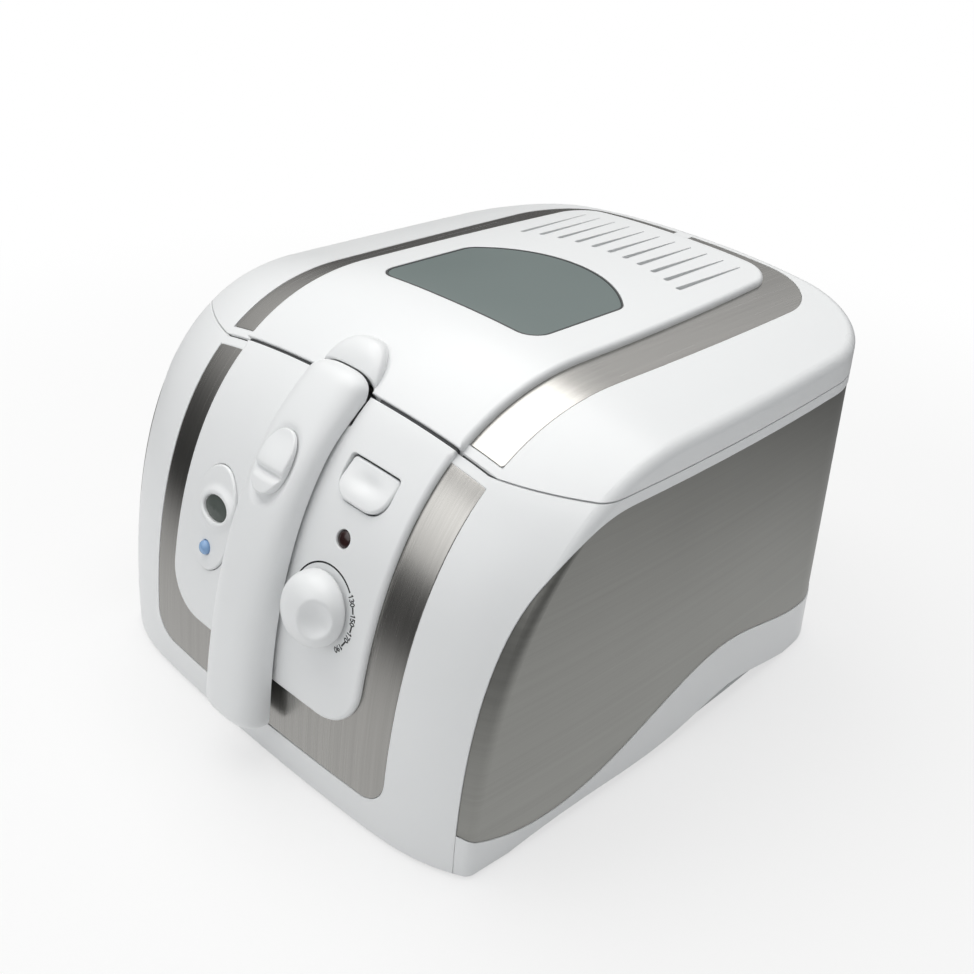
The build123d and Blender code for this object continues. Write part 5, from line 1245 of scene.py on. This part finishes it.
def softbox(name, look):
    lamp = bpy.data.lights.new(name, "AREA")
    lamp.shape = "RECTANGLE"
    lamp.size, lamp.size_y = look["size"]
    lamp.energy = look["power"]
    lamp.color = look["colour"]
    away = Vector(look["place"]) - Vector(look["aim"])
    turn = away.to_track_quat("Z", "Y").to_matrix().to_4x4()
    linked(name, lamp).matrix_world = Matrix.Translation(look["place"]) @ turn


softbox("overhead box", {"place": (-0.25, 0.0, 1.5), "aim": (0.0, 0.0, 0.1), "size": (1.6, 1.6),
                         "power": 18.0, "colour": (1.0, 0.99, 0.97)})
softbox("front box", {"place": (-0.5, -1.5, 0.9), "aim": (0.0, 0.0, 0.1), "size": (1.2, 1.0),
                      "power": 4.0, "colour": (1.0, 1.0, 1.0)})


def rayKinds(paint):
    # rays straight to the eye, and rays mirrored or seen through glass
    path = [paint.add("ShaderNodeLightPath", output=name) for name in
            ("Is Camera Ray", "Is Glossy Ray", "Is Transmission Ray")]
    return path[0], paint.add("ShaderNodeMath", {"operation": "MAXIMUM"}, {0: path[1], 1: path[2]})


# white to the eye; a room with a bright ceiling and dimmer walls to metal and gloss
air = Paint("studio air", bpy.data.worlds.new("studio air"))
scene.world = air.owner
straight, mirrored = rayKinds(air)
heading = air.add("ShaderNodeTexCoord", output="Generated")
toward = air.add("ShaderNodeSeparateXYZ", {}, {0: heading}, output=2)
room = air.steps(0.5 * toward + 0.5, studio["room"])
dim, walls, white = [air.add("ShaderNodeBackground", {}, {"Color": colour, "Strength": strength})
                     for colour, strength in (((*studio["airColour"], 1.0), studio["airLight"]), (room, 1.0),
                                              ((1.0, 1.0, 1.0, 1.0), 1.0))]
lit = air.add("ShaderNodeMixShader", {}, {0: mirrored, 1: dim, 2: walls})
shown = air.add("ShaderNodeMixShader", {}, {0: straight, 1: lit, 2: white})
air.add("ShaderNodeOutputWorld", {}, {"Surface": shown})

half = studio["floorHalf"]
floorMesh = bpy.data.meshes.new("floor")
floorMesh.from_pydata([(-half, -half, 0.0), (half, -half, 0.0), (half, half, 0.0), (-half, half, 0.0)], [],
                      [(0, 1, 2, 3)])
paper = Paint("floor paper")
grain = paper.noise(studio["floorGrain"], 3.0)
colour = paper.tint(grain, studio["floorShade"], studio["floorPale"])
matt = paper.add("ShaderNodeBsdfDiffuse", {}, {"Color": colour})
away = paper.add("ShaderNodeVectorMath", {"operation": "LENGTH"}, {0: paper.spot()}, output=1)


def byDistance(start, end, near, far):
    limits = {"From Min": studio[start], "From Max": studio[end], "To Min": near, "To Max": far}
    return paper.add("ShaderNodeMapRange", {"interpolation_type": "SMOOTHSTEP"}, {"Value": away, **limits})


spreadOut = byDistance("glowFrom", "glowTo", studio["glowNear"], 1.0)
straight, mirrored = rayKinds(paper)
dimming = byDistance("mirrorFrom", "mirrorTo", studio["mirrorNear"], studio["mirrorFar"])
glow = paper.add("ShaderNodeEmission", {}, {"Color": straight + mirrored * dimming, "Strength": 1.0})
sheet = paper.add("ShaderNodeMixShader", {}, {0: spreadOut * straight + mirrored, 1: matt, 2: glow})
paper.add("ShaderNodeOutputMaterial", {}, {"Surface": sheet})
floorMesh.materials.append(paper.owner)
linked("floor", floorMesh)

camera = linked("camera", bpy.data.cameras.new("camera"))
right, up = Vector(studio["right"]).normalized(), Vector(studio["up"]).normalized()
back = right.cross(up).normalized()
up = back.cross(right)
turn = Matrix((right, up, back)).transposed().to_4x4()
camera.matrix_world = Matrix.Translation(Vector(studio["place"]) * mm) @ turn
camera.data.lens, camera.data.sensor_width = studio["lens"], studio["sensor"]
camera.data.sensor_fit = "HORIZONTAL"
camera.data.clip_start = studio["clip"]
scene.camera = camera
scene.view_settings.view_transform = "Standard"
print("studio set")
